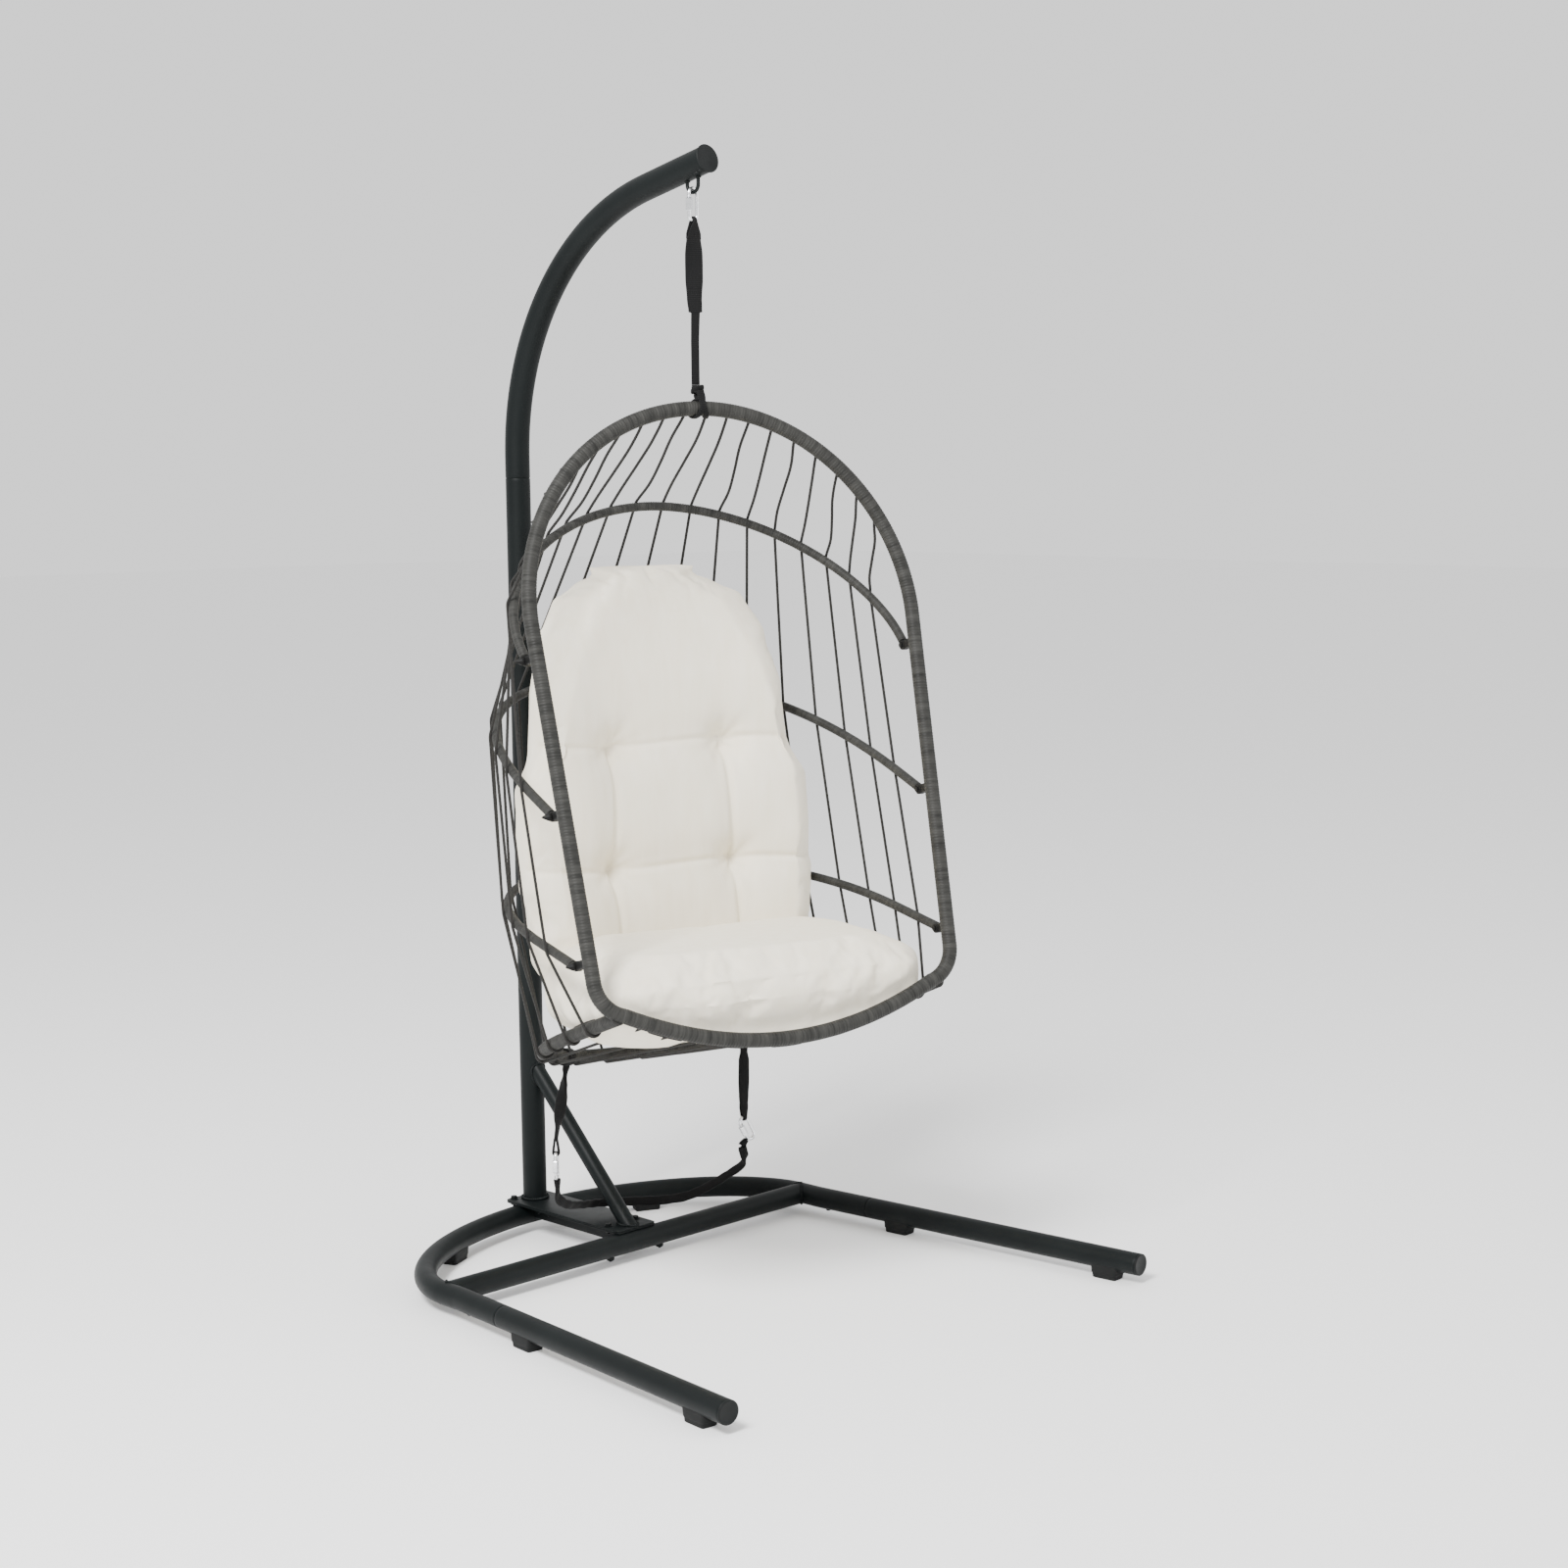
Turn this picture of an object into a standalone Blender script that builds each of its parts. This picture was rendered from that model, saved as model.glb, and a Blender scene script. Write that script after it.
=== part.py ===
"""Hanging egg chair: a roped basket with two cushions, hung from a curved steel stand.

Metres, +Z up.  The origin is on the ground, under the middle of the stand's box.
The stand is symmetric about X = 0 and the chair faces -Y.  The basket is drawn in its own
frame (w to its left-right, a towards its back, z up) under an empty on the hang line.
"""
import math

import bmesh
import bpy
from mathutils import Matrix, Vector

# ---- clearances ----------------------------------------------------------------------------
GAP = 0.0003            # between pieces that touch
SLIDE = 0.0004          # between a spigot and its bore

# ---- stand ---------------------------------------------------------------------------------
CROSSBAR_Y = 0.2335     # places the middle of the stand's depth over the origin
BASE_R = 0.020          # base tubes, outside radius
BASE_WALL = 0.0015
BASE_SIDES = 16
FOOT_LIFT = 0.0155      # how far the feet hold the base tubes off the ground
BASE_Z = FOOT_LIFT + BASE_R
ARC_HALF_WIDTH = 0.434  # rear arc, centreline, at the crossbar
ARC_DEPTH = 0.287       # from the crossbar back to the rear of the arc
ARC_POWER = 1.87        # 2 would be a true ellipse
LEG_SEAM = (0.447, -0.175)     # leg joint, measured from the crossbar's middle
LEG_TIP = (0.5044, -0.780)     # leg end, measured from the crossbar's middle
SPIGOT = 0.118          # length of the reduced ends that plug into the next tube
BEAM_WIDTH = 0.036      # rectangular beam under the plate
BEAM_HEIGHT = 0.027
PLATE_HALF_WIDTH = 0.047
PLATE_OVERHANG_FRONT = 0.006   # past the crossbar's centreline
PLATE_OVERHANG_REAR = 0.031    # past the arc's centreline
PLATE_T = 0.003         # each of the two plates
POST_R = 0.0225
POST_WALL = 0.0016
POST_SEAM_Z = 1.425
POST_SPIGOT = 0.036
WELD = 0.0035           # weld bead round the post's foot
BRACE_R = 0.0147
BRACE_WALL = 0.0015
BRACE_LINE = -0.043     # the 45 degree brace runs where y - CROSSBAR_Y = z + BRACE_LINE
ARM_BEND_Z = 1.462      # the arm starts to curve here
ARM_BEND_R = 0.470
ARM_BEND_END = math.radians(76.8)   # how far the bend turns before the arm runs straight
ARM_STRAIGHT = 0.161    # straight stretch after the bend
CAP_T = 0.003
CAP_PLUG = 0.014

# ---- fasteners and feet --------------------------------------------------------------------
BOLT_R = 0.003
BOLT_HEAD_R = 0.0058
BOLT_HEAD_H = 0.0045
BOLT_NUT_H = 0.0045
BOLT_X = 0.033
BOLT_Y = (0.036, 0.3095)   # front and rear pair, behind the crossbar's centreline
SCREW_R = 0.0025
SCREW_HEAD_R = 0.0052
SCREW_HEAD_H = 0.0028
SCREW_BACK = 0.105      # leg screw behind the leg's joint
FOOT_LENGTH = 0.056
FOOT_WIDTH = 0.034
FOOT_TOP = 0.026        # height of a foot's side walls
FOOT_MIDDLE = 0.070     # middle of a leg's rear foot, in front of the leg's joint
FOOT_FRONT = 0.067      # middle of its front foot, behind the leg's end
FOOT_REAR_X = 0.235     # the arc's own feet

# ---- suspension ----------------------------------------------------------------------------
HANG_Y = CROSSBAR_Y - 0.197
EYE_ROD_R = 0.0032
EYE_HALF_WIDTH = 0.0135
EYE_BOTTOM_Z = 1.9035   # centreline of the eyelet's bow
LINK_ROD_R = 0.0032
LINK_HALF_WIDTH = 0.0088
TOP_LINK_LENGTH = 0.0535       # centreline height
SLEEVE_R = 0.0060
SLEEVE_LENGTH = 0.0215
WEB_T = 0.0030          # one layer of webbing
BAND_EASE = 0.0013      # webbing's inner face clear of a link's curved bow
LINK_NECK = 0.0065      # webbing bunched up where it passes through a link
STRAP_TOP_WIDTH = 0.031
STRAP_NECK_WIDTH = 0.023
STRAP_LOW_WIDTH = 0.014
STRAP_NECK_Z = 1.705
STRAP_TURN = math.radians(-40.0)   # the webbing's broad face, about the hang line
HITCH_TOP_Z = 1.583
HITCH_SPREAD = 0.0078   # the hitch's two turns, either side of the rim's middle
BAND_T = 0.0034         # thickness of a turn of webbing round a tube

# ---- basket --------------------------------------------------------------------------------
BASKET_TURN = math.radians(-16.5)  # how far the basket has swivelled about the hang line
RIM_R = 0.0125
RIM_LEAN = math.radians(16.1)      # the rim's plane leans forward towards the bottom
RIM_TOP = (-0.0144, 1.543)         # a and z of the rim's highest point
RIM_ARCH_R = 0.360
RIM_FOOT_HALF = 0.336              # half width at the lower corners
RIM_SIDE_END = 0.955               # down the plane, where the lower corners begin
RIM_CORNER_R = 0.062
RIM_BOTTOM = 1.0825                # down the plane, the lowest point
HOOP_R = 0.0078
# each hoop: half width, height of its bolts, tilt, start and depth of its bow, roundness
HOOPS = {
    "hoop_1": dict(half=0.360, bolt_z=1.131, tilt=math.radians(41.5), mid=-0.070,
                   depth=0.255, power=1.88, rope_step=0.0515),
    "hoop_2": dict(half=0.349, bolt_z=0.882, tilt=math.radians(17.0), mid=-0.100,
                   depth=0.500, power=2.35, rope_step=0.0780),
    "hoop_3": dict(half=0.346, bolt_z=0.645, tilt=math.radians(6.5), mid=-0.100,
                   depth=0.450, power=2.35, rope_step=0.0810),
}
HOOP_BOLT_BACK = 0.042             # bolt behind the rim's centreline
CLAMP_HEIGHT = 0.015
CLAMP_THICK = 0.010
CLAMP_EYE_R = 0.0085               # rounded end of a clamp, about its bolt
SEAT_R = 0.0118
SEAT_TILT = math.radians(-20.0)    # the seat frame drops towards the back
SEAT_FRONT = (-0.297, 0.566)       # a and z where it leaves the rim
SEAT_HALF = 0.318
SEAT_FRONT_HALF = 0.301
SEAT_MID = -0.120
SEAT_DEPTH = 0.305
SEAT_POWER = 2.5
SEAT_ROPE_STEP = 0.0735
FRONT_ROPE_STEP = 0.0545
ROPE_R = 0.0025
ROPE_SIDES = 6
ROPE_EASE = 1.17        # a rope's corners stand off a round bar, so its straight runs clear it
HOOP_EASE = 1.05        # the same where a rope only bends a little, over a hoop
ROPE_SWAY = 0.004       # and wander this far to the side
ROPE_SAG = 0.006        # the slack upper strands hang this far below a straight line

# ---- cushions ------------------------------------------------------------------------------
SEAT_CUSHION_TOP = 0.640
SEAT_CUSHION_GAP = 0.0012
BACK_CUSHION_FOOT = (0.135, 0.462)   # a and z of the middle plane's lower end
BACK_CUSHION_HEAD = (0.216, 1.276)   # and of its upper end
BACK_CUSHION_BOW = 0.75            # how fast its back curves forward towards its sides
# the back cushion's outline: fraction of its height, half width, front and back of its plane
BACK_OUTLINE = ((0.00, 0.205, -0.040, 0.020), (0.04, 0.240, -0.056, 0.045),
                (0.14, 0.272, -0.062, 0.060), (0.30, 0.290, -0.062, 0.062),
                (0.52, 0.290, -0.062, 0.062), (0.59, 0.262, -0.062, 0.062),
                (0.74, 0.246, -0.062, 0.060), (0.86, 0.218, -0.050, 0.054),
                (0.94, 0.182, -0.030, 0.048), (0.985, 0.130, -0.006, 0.042),
                (1.00, 0.100, 0.006, 0.036))

# ---- tether under the basket ---------------------------------------------------------------
TETHER_A = 0.151                   # a of the seat frame where the lower straps hang
LOWER_STRAP_WIDTH = 0.022
LOWER_LINK_LENGTH = 0.0475
LOWER_TIES = {
    "left": dict(hitch_w=-0.206, link_w=-0.2300, link_z=0.236, tilt=0.0,
                 turn=math.radians(58.0), leave=math.radians(20.0), clear=0.0008),
    "right": dict(hitch_w=0.160, link_w=0.158, link_z=0.246, tilt=math.radians(-28.0),
                  turn=math.radians(8.0), leave=math.radians(-45.0), clear=0.0016),
}
SAFETY_R = 0.0080
# the safety strap's own route in the basket's frame, from the left link to the right one
SAFETY_ROUTE = ((-0.2190, 0.160, 0.146), (-0.1880, 0.190, 0.122), (-0.1450, 0.235, 0.104),
                (-0.0700, 0.285, 0.086), (-0.0090, 0.285, 0.079), (0.0350, 0.270, 0.078),
                (0.0790, 0.250, 0.084), (0.1080, 0.230, 0.100), (0.1420, 0.190, 0.134),
                (0.1600, 0.166, 0.160))


# ============================================================================================
# small helpers
# ============================================================================================
def clear_scene():
    for item in list(bpy.data.objects):
        bpy.data.objects.remove(item, do_unlink=True)


def make_material(name, colour, roughness, metallic):
    material = bpy.data.materials.new(name)
    material.use_nodes = True
    shader = material.node_tree.nodes["Principled BSDF"]
    shader.inputs["Base Color"].default_value = (*colour, 1.0)
    shader.inputs["Roughness"].default_value = roughness
    shader.inputs["Metallic"].default_value = metallic
    return material


def make_empty(name, location=(0, 0, 0), turn=0.0, parent=None):
    empty = bpy.data.objects.new(name, None)
    empty.location = location
    empty.rotation_euler = (0, 0, turn)
    empty.parent = parent
    bpy.context.scene.collection.objects.link(empty)
    return empty


def make_object(name, bm, material, parent=None, origin=(0, 0, 0), smooth=True):
    """Turns a bmesh drawn in the parent's frame into an object whose origin is at origin."""
    bmesh.ops.recalc_face_normals(bm, faces=bm.faces[:])
    bmesh.ops.translate(bm, verts=bm.verts[:], vec=-Vector(origin))
    mesh = bpy.data.meshes.new(name)
    bm.to_mesh(mesh)
    bm.free()
    if smooth:
        mesh.shade_smooth()
        mesh.set_sharp_from_angle(angle=math.radians(40))
    if material:
        mesh.materials.append(material)
    item = bpy.data.objects.new(name, mesh)
    item.location = origin
    item.parent = parent
    bpy.context.scene.collection.objects.link(item)
    return item


def make_cutter(name, bm, parent=None):
    cutter = make_object(name, bm, None, parent, smooth=False)
    cutter.hide_render = True
    cutter.display_type = "WIRE"
    return cutter


def boolean(item, other, operation="DIFFERENCE"):
    modifier = item.modifiers.new(operation.lower(), "BOOLEAN")
    modifier.operation = operation
    modifier.solver = "EXACT"
    modifier.object = other


def circle(radius, sides, spin=0.0):
    step = 2 * math.pi / sides
    return [(radius * math.cos(spin + i * step), radius * math.sin(spin + i * step))
            for i in range(sides)]


def rectangle(width, height):
    return [(width / 2, height / 2), (-width / 2, height / 2),
            (-width / 2, -height / 2), (width / 2, -height / 2)]


def path_frames(path, closed=False, side=None):
    """Tangent, normal and side vector at each point; side keeps flat sections upright."""
    count = len(path)
    tangents = []
    for i in range(count):
        before = path[i - 1] if (i > 0 or closed) else path[i]
        after = path[(i + 1) % count] if (i < count - 1 or closed) else path[i]
        tangents.append((after - before).normalized())
    frames = []
    last = Vector(side) if side is not None else tangents[0].orthogonal()
    for tangent in tangents:
        fixed = Vector(side) if side is not None else last
        normal = tangent.cross(fixed).normalized()
        across = normal.cross(tangent).normalized()
        last = across
        frames.append((tangent, across, normal))
    return frames


def skin(bm, rings, closed=False, flip=False):
    """Joins successive rings of vertices with quads."""
    pairs = zip(rings, rings[1:] + rings[:1]) if closed else zip(rings, rings[1:])
    for first, second in pairs:
        for i in range(len(first)):
            j = (i + 1) % len(first)
            corners = (first[i], first[j], second[j], second[i])
            bm.faces.new(tuple(reversed(corners)) if flip else corners)


def sweep(path, section, closed=False, side=None, scales=None, bm=None):
    """A solid bar of the given section along a path."""
    bm = bm or bmesh.new()
    path = [Vector(p) for p in path]
    rings = []
    for i, (point, (_, across, normal)) in enumerate(zip(path, path_frames(path, closed, side))):
        sx, sy = scales[i] if scales else (1.0, 1.0)
        rings.append([bm.verts.new(point + across * (x * sx) + normal * (y * sy))
                      for x, y in section])
    skin(bm, rings, closed)
    if not closed:
        bm.faces.new(rings[0])
        bm.faces.new(rings[-1])
    return bm


def pipe(path, radius, wall, sides, side=None):
    """A hollow tube with open ends along a path."""
    bm = bmesh.new()
    path = [Vector(p) for p in path]
    frames = path_frames(path, False, side)
    shells = []
    for r in (radius, radius - wall):
        shells.append([[bm.verts.new(point + across * x + normal * y)
                        for x, y in circle(r, sides)]
                       for point, (_, across, normal) in zip(path, frames)])
    outer, inner = shells
    skin(bm, outer)
    skin(bm, inner, flip=True)
    for end in (0, -1):
        skin(bm, [outer[end], inner[end]])
    return bm


def turned(profile, sides, start=(0, 0, 0), axis=(0, 0, 1), closed=True):
    """Revolves (radius, height) points about an axis; closed profiles give a hollow ring."""
    bm = bmesh.new()
    rings = [[bm.verts.new((x, y, height)) for x, y in circle(radius, sides)]
             for radius, height in profile]
    skin(bm, rings, closed)
    if not closed:
        bm.faces.new(rings[0])
        bm.faces.new(rings[-1])
    turn = Vector((0, 0, 1)).rotation_difference(Vector(axis)).to_matrix().to_4x4()
    bmesh.ops.transform(bm, matrix=Matrix.Translation(start) @ turn, verts=bm.verts[:])
    return bm


def stack(rows):
    """A solid of level four-cornered rows: each row is centre, width, thickness and turn."""
    bm = bmesh.new()
    rings = []
    for centre, width, thickness, turn in rows:
        spin = Matrix.Rotation(turn, 3, "Z")
        rings.append([bm.verts.new(Vector(centre) + spin @ Vector((x, y, 0)))
                      for x, y in rectangle(width, thickness)])
    skin(bm, rings)
    bm.faces.new(rings[0])
    bm.faces.new(rings[-1])
    return bm


def plug_radius(bore, sides):
    """The largest round that slides into a faceted bore."""
    return bore * math.cos(math.pi / sides) - SLIDE


def block(size, centre=(0, 0, 0), turn=None):
    bm = bmesh.new()
    bmesh.ops.create_cube(bm, size=1.0)
    bmesh.ops.scale(bm, vec=size, verts=bm.verts[:])
    if turn is not None:
        bmesh.ops.transform(bm, matrix=turn, verts=bm.verts[:])
    bmesh.ops.translate(bm, vec=centre, verts=bm.verts[:])
    return bm


def bow(half, depth, mid, power, steps):
    """Half of a rounded bow as (w, a) points, from its side to the middle of its back."""
    points = []
    for i in range(steps + 1):
        t = math.pi / 2 * i / steps
        points.append((half * math.cos(t) ** (2 / power), mid + depth * math.sin(t) ** (2 / power)))
    points[-1] = (0.0, mid + depth)
    return points


def along(path, distance):
    """The point and direction at a distance along a path."""
    for start, end in zip(path, path[1:]):
        length = (end - start).length
        if distance <= length:
            return start.lerp(end, distance / length), (end - start).normalized()
        distance -= length
    return path[-1], (path[-1] - path[-2]).normalized()


def smooth_route(points, count):
    """Evenly placed points on a smooth curve through a few chosen ones."""
    points = [Vector(p) for p in points]
    ends = [points[0] * 2 - points[1]] + points + [points[-1] * 2 - points[-2]]
    fine = []
    for p0, p1, p2, p3 in zip(ends, ends[1:], ends[2:], ends[3:]):
        for i in range(12):
            t = i / 12
            fine.append(0.5 * ((2 * p1) + (p2 - p0) * t + (2 * p0 - 5 * p1 + 4 * p2 - p3) * t ** 2
                               + (3 * p1 - p0 - 3 * p2 + p3) * t ** 3))
    fine.append(points[-1])
    total = sum((b - a).length for a, b in zip(fine, fine[1:]))
    return [along(fine, total * i / (count - 1))[0] for i in range(count)]


# ============================================================================================
# stand
# ============================================================================================
def leg_direction(sign):
    seam, tip = Vector((*LEG_SEAM, 0)), Vector((*LEG_TIP, 0))
    line = (tip - seam).normalized()
    return Vector((sign * line.x, line.y, 0))


def base_point(x, y):
    """A point on the base tubes' centre height; y is measured from the crossbar."""
    return Vector((x, CROSSBAR_Y + y, BASE_Z))


def arc_path():
    """The rear arc's centreline, from the right leg's joint round to the left one's."""
    half = []
    for i in range(1, 10):
        t = math.pi / 2 * i / 10
        half.append((ARC_HALF_WIDTH * math.cos(t) ** (2 / ARC_POWER),
                     ARC_DEPTH * math.sin(t) ** (2 / ARC_POWER)))
    straight = Vector(LEG_SEAM) - (Vector(LEG_TIP) - Vector(LEG_SEAM)).normalized() * (SPIGOT + 0.012)
    lead = [LEG_SEAM, tuple(straight), (ARC_HALF_WIDTH, 0.0)]
    right = lead + half
    left = [(-x, y) for x, y in reversed(right)]
    return [base_point(x, y) for x, y in right + [(0.0, ARC_DEPTH)] + left]


def build_base(steel, rubber):
    path = arc_path()
    arc = make_object("rear_arc", pipe(path, BASE_R, BASE_WALL, BASE_SIDES, side=(0, 0, 1)), steel)
    arc_hole = make_cutter("cut_arc", sweep(path, circle(BASE_R + GAP, BASE_SIDES), side=(0, 0, 1)))
    spigot_r = plug_radius(BASE_R - BASE_WALL, BASE_SIDES)
    length = (Vector(LEG_TIP) - Vector(LEG_SEAM)).length
    for name, sign in (("left", -1), ("right", 1)):
        seam = base_point(sign * LEG_SEAM[0], LEG_SEAM[1])
        profile = [(spigot_r - BASE_WALL, -SPIGOT), (spigot_r, -SPIGOT), (spigot_r, GAP),
                   (BASE_R, GAP), (BASE_R, length), (BASE_R - BASE_WALL, length),
                   (BASE_R - BASE_WALL, 0.006), (spigot_r - BASE_WALL, 0.004)]
        leg = make_object("leg_" + name, turned(profile, BASE_SIDES, seam, leg_direction(sign)), steel)
        build_leg_screw(name, seam - leg_direction(sign) * SCREW_BACK, arc, leg, steel)
        build_cap("leg_cap_" + name, seam + leg_direction(sign) * length,
                  leg_direction(sign), BASE_R, BASE_R - BASE_WALL, rubber)
    bar_half = ARC_HALF_WIDTH
    bar = make_object("crossbar", pipe([base_point(-bar_half, 0), base_point(bar_half, 0)],
                                       BASE_R, BASE_WALL, BASE_SIDES, side=(0, 0, 1)), steel)
    boolean(bar, arc_hole)
    beam_centre = base_point(0, ARC_DEPTH / 2)
    beam_centre.z = BASE_Z + BASE_R - BEAM_HEIGHT / 2
    beam = make_object("centre_beam", block((BEAM_WIDTH, ARC_DEPTH, BEAM_HEIGHT), beam_centre),
                       steel, smooth=False)
    bar_hole = make_cutter("cut_crossbar", sweep([base_point(-0.1, 0), base_point(0.1, 0)],
                                                 circle(BASE_R + GAP, BASE_SIDES), side=(0, 0, 1)))
    boolean(beam, arc_hole)
    boolean(beam, bar_hole)


def build_leg_screw(name, spot, arc, leg, steel):
    """A button-headed screw from below, through the arc's wall into the leg's spigot."""
    low = -BASE_R - GAP
    profile = [(SCREW_R, low + 0.007), (SCREW_R, low), (SCREW_HEAD_R, low),
               (SCREW_HEAD_R * 0.85, low - SCREW_HEAD_H * 0.7), (SCREW_HEAD_R * 0.4, low - SCREW_HEAD_H)]
    make_object("leg_screw_" + name, turned(profile[::-1], 10, spot, closed=False), steel)
    hole = [(SCREW_R + SLIDE, low - 0.01), (SCREW_R + SLIDE, -BASE_R / 2)]
    cutter = make_cutter("cut_leg_screw_" + name, turned(hole, 10, spot, closed=False))
    boolean(arc, cutter)
    boolean(leg, cutter)


def build_cap(name, centre, direction, radius, bore, material, flange=0.0):
    """A plastic end plug: a disc over the tube's end and a shorter plug inside it."""
    plug = plug_radius(bore, 16)
    profile = [(plug * 0.9, -CAP_PLUG), (plug, -CAP_PLUG + 0.002), (plug, GAP),
               (radius + flange, GAP), (radius + flange, CAP_T - 0.001),
               (radius + flange - 0.0015, CAP_T)]
    make_object(name, turned(profile, 16, centre, direction, closed=False), material)


def build_plates(steel):
    """The plate welded on the base, the one welded under the post, and their bolts."""
    rear = ARC_DEPTH + PLATE_OVERHANG_REAR
    size = (2 * PLATE_HALF_WIDTH, rear + PLATE_OVERHANG_FRONT, PLATE_T)
    middle_y = CROSSBAR_Y + (rear - PLATE_OVERHANG_FRONT) / 2
    low = BASE_Z + BASE_R + GAP
    plates = []
    for name in ("base_bracket", "base_plate"):
        plate = make_object(name, block(size, (0, middle_y, low + PLATE_T / 2)), steel, smooth=False)
        bevel = plate.modifiers.new("corners", "BEVEL")
        bevel.width = 0.0008
        bevel.segments = 1
        plates.append(plate)
        low += PLATE_T + GAP
    top = low
    under = BASE_Z + BASE_R
    places = [(end, side, x, y) for end, y in zip(("front", "rear"), BOLT_Y)
              for side, x in (("left", -BOLT_X), ("right", BOLT_X))]
    for end, side, x, y in places:
        spot = Vector((x, CROSSBAR_Y + y, 0))
        name = end + "_" + side
        hole = make_cutter("cut_bolt_" + name, turned([(BOLT_R + SLIDE, under - 0.01), (BOLT_R + SLIDE, top + 0.01)],
                                                      10, spot, closed=False))
        for plate in plates:
            boolean(plate, hole)
        foot = under - BOLT_NUT_H
        nut_r = BOLT_HEAD_R * 0.95
        profile = [(BOLT_R, foot - 0.002), (BOLT_R, foot), (nut_r, foot), (nut_r, under), (BOLT_R, under),
                   (BOLT_R, top), (BOLT_HEAD_R, top), (BOLT_HEAD_R, top + BOLT_HEAD_H * 0.7),
                   (BOLT_HEAD_R * 0.8, top + BOLT_HEAD_H)]
        make_object("plate_bolt_" + name, turned(profile, 10, spot, closed=False), steel)
    return top - GAP


def arm_path():
    """The arm's centreline: up, round the bend and out to the tip."""
    y0 = CROSSBAR_Y + ARC_DEPTH
    centre_y = y0 - ARM_BEND_R
    points = [(y0, POST_SEAM_Z + GAP)]
    steps = 15
    for i in range(steps + 1):
        t = ARM_BEND_END * i / steps
        points.append((centre_y + ARM_BEND_R * math.cos(t), ARM_BEND_Z + ARM_BEND_R * math.sin(t)))
    y, z = points[-1]
    out = (-math.sin(ARM_BEND_END), math.cos(ARM_BEND_END))
    points.append((y + out[0] * ARM_STRAIGHT, z + out[1] * ARM_STRAIGHT))
    return [Vector((0, y, z)) for y, z in points]


def build_mast(steel, rubber, plate_top):
    foot = Vector((0, CROSSBAR_Y + ARC_DEPTH, 0))
    inner = POST_R - POST_WALL
    spigot_r = plug_radius(inner, 16)
    profile = [(inner, plate_top + GAP), (POST_R + WELD, plate_top + GAP),
               (POST_R, plate_top + GAP + WELD), (POST_R, POST_SEAM_Z), (spigot_r, POST_SEAM_Z),
               (spigot_r, POST_SEAM_Z + POST_SPIGOT), (spigot_r - POST_WALL, POST_SEAM_Z + POST_SPIGOT),
               (spigot_r - POST_WALL, POST_SEAM_Z - 0.004), (inner, POST_SEAM_Z - 0.006)]
    make_object("post", turned(profile, 18, foot), steel)
    path = arm_path()
    make_object("arm", pipe(path, POST_R, POST_WALL, 16, side=(1, 0, 0)), steel)
    direction = (path[-1] - path[-2]).normalized()
    build_cap("arm_cap", path[-1], direction, POST_R, inner, rubber, flange=0.002)
    arm_hole = make_cutter("cut_arm", sweep(path, circle(POST_R + GAP, 16), side=(1, 0, 0)))
    post_hole = make_cutter("cut_post", turned([(POST_R + GAP, 0.1), (POST_R + GAP, 1.0)], 18, foot,
                                               closed=False))
    return arm_hole, post_hole


def build_brace(steel, post_hole, plate_top):
    """The 45 degree brace in the plane X = 0, from the post's front down to the plate."""
    def on_line(z):
        return Vector((0, CROSSBAR_Y + z + BRACE_LINE, z))
    low, high = on_line(plate_top - 0.02), on_line(ARC_DEPTH - BRACE_LINE)
    brace = make_object("brace", pipe([low, high], BRACE_R, BRACE_WALL, 16, side=(1, 0, 0)), steel)
    boolean(brace, post_hole)
    below = make_cutter("cut_below_plate", block((0.3, 0.5, 0.1), (0, CROSSBAR_Y, plate_top - 0.05 + GAP)))
    boolean(brace, below)


def build_eyelet(steel, arm_hole):
    """A bent rod welded under the arm, lying in the plane of the arm."""
    high = EYE_BOTTOM_Z + 0.036
    path = [Vector((0, HANG_Y - EYE_HALF_WIDTH, high))]
    for i in range(11):
        t = math.pi * i / 10
        path.append(Vector((0, HANG_Y - EYE_HALF_WIDTH * math.cos(t),
                            EYE_BOTTOM_Z + EYE_HALF_WIDTH * (1 - math.sin(t)))))
    path.append(Vector((0, HANG_Y + EYE_HALF_WIDTH, high)))
    eyelet = make_object("eyelet", sweep(path, circle(EYE_ROD_R, 8), side=(1, 0, 0)), steel,
                         origin=(0, HANG_Y, EYE_BOTTOM_Z))
    boolean(eyelet, arm_hole)


def build_foot(name, spot, direction, rubber, tube_hole):
    """A moulded foot: wider at the top, flat below, with a saddle for its tube."""
    along_tube = Vector((direction.x, direction.y, 0)).normalized()
    across = Vector((0, 0, 1)).cross(along_tube)
    bm = bmesh.new()
    rings = []
    for z, length, width in ((0.0, FOOT_LENGTH * 0.86, FOOT_WIDTH * 0.9), (FOOT_TOP, FOOT_LENGTH, FOOT_WIDTH)):
        rings.append([bm.verts.new(Vector((spot.x, spot.y, z)) + along_tube * x + across * y)
                      for x, y in rectangle(length, width)])
    skin(bm, rings)
    bm.faces.new(rings[0])
    bm.faces.new(rings[1])
    foot = make_object(name, bm, rubber, smooth=False)
    boolean(foot, tube_hole)


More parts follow.
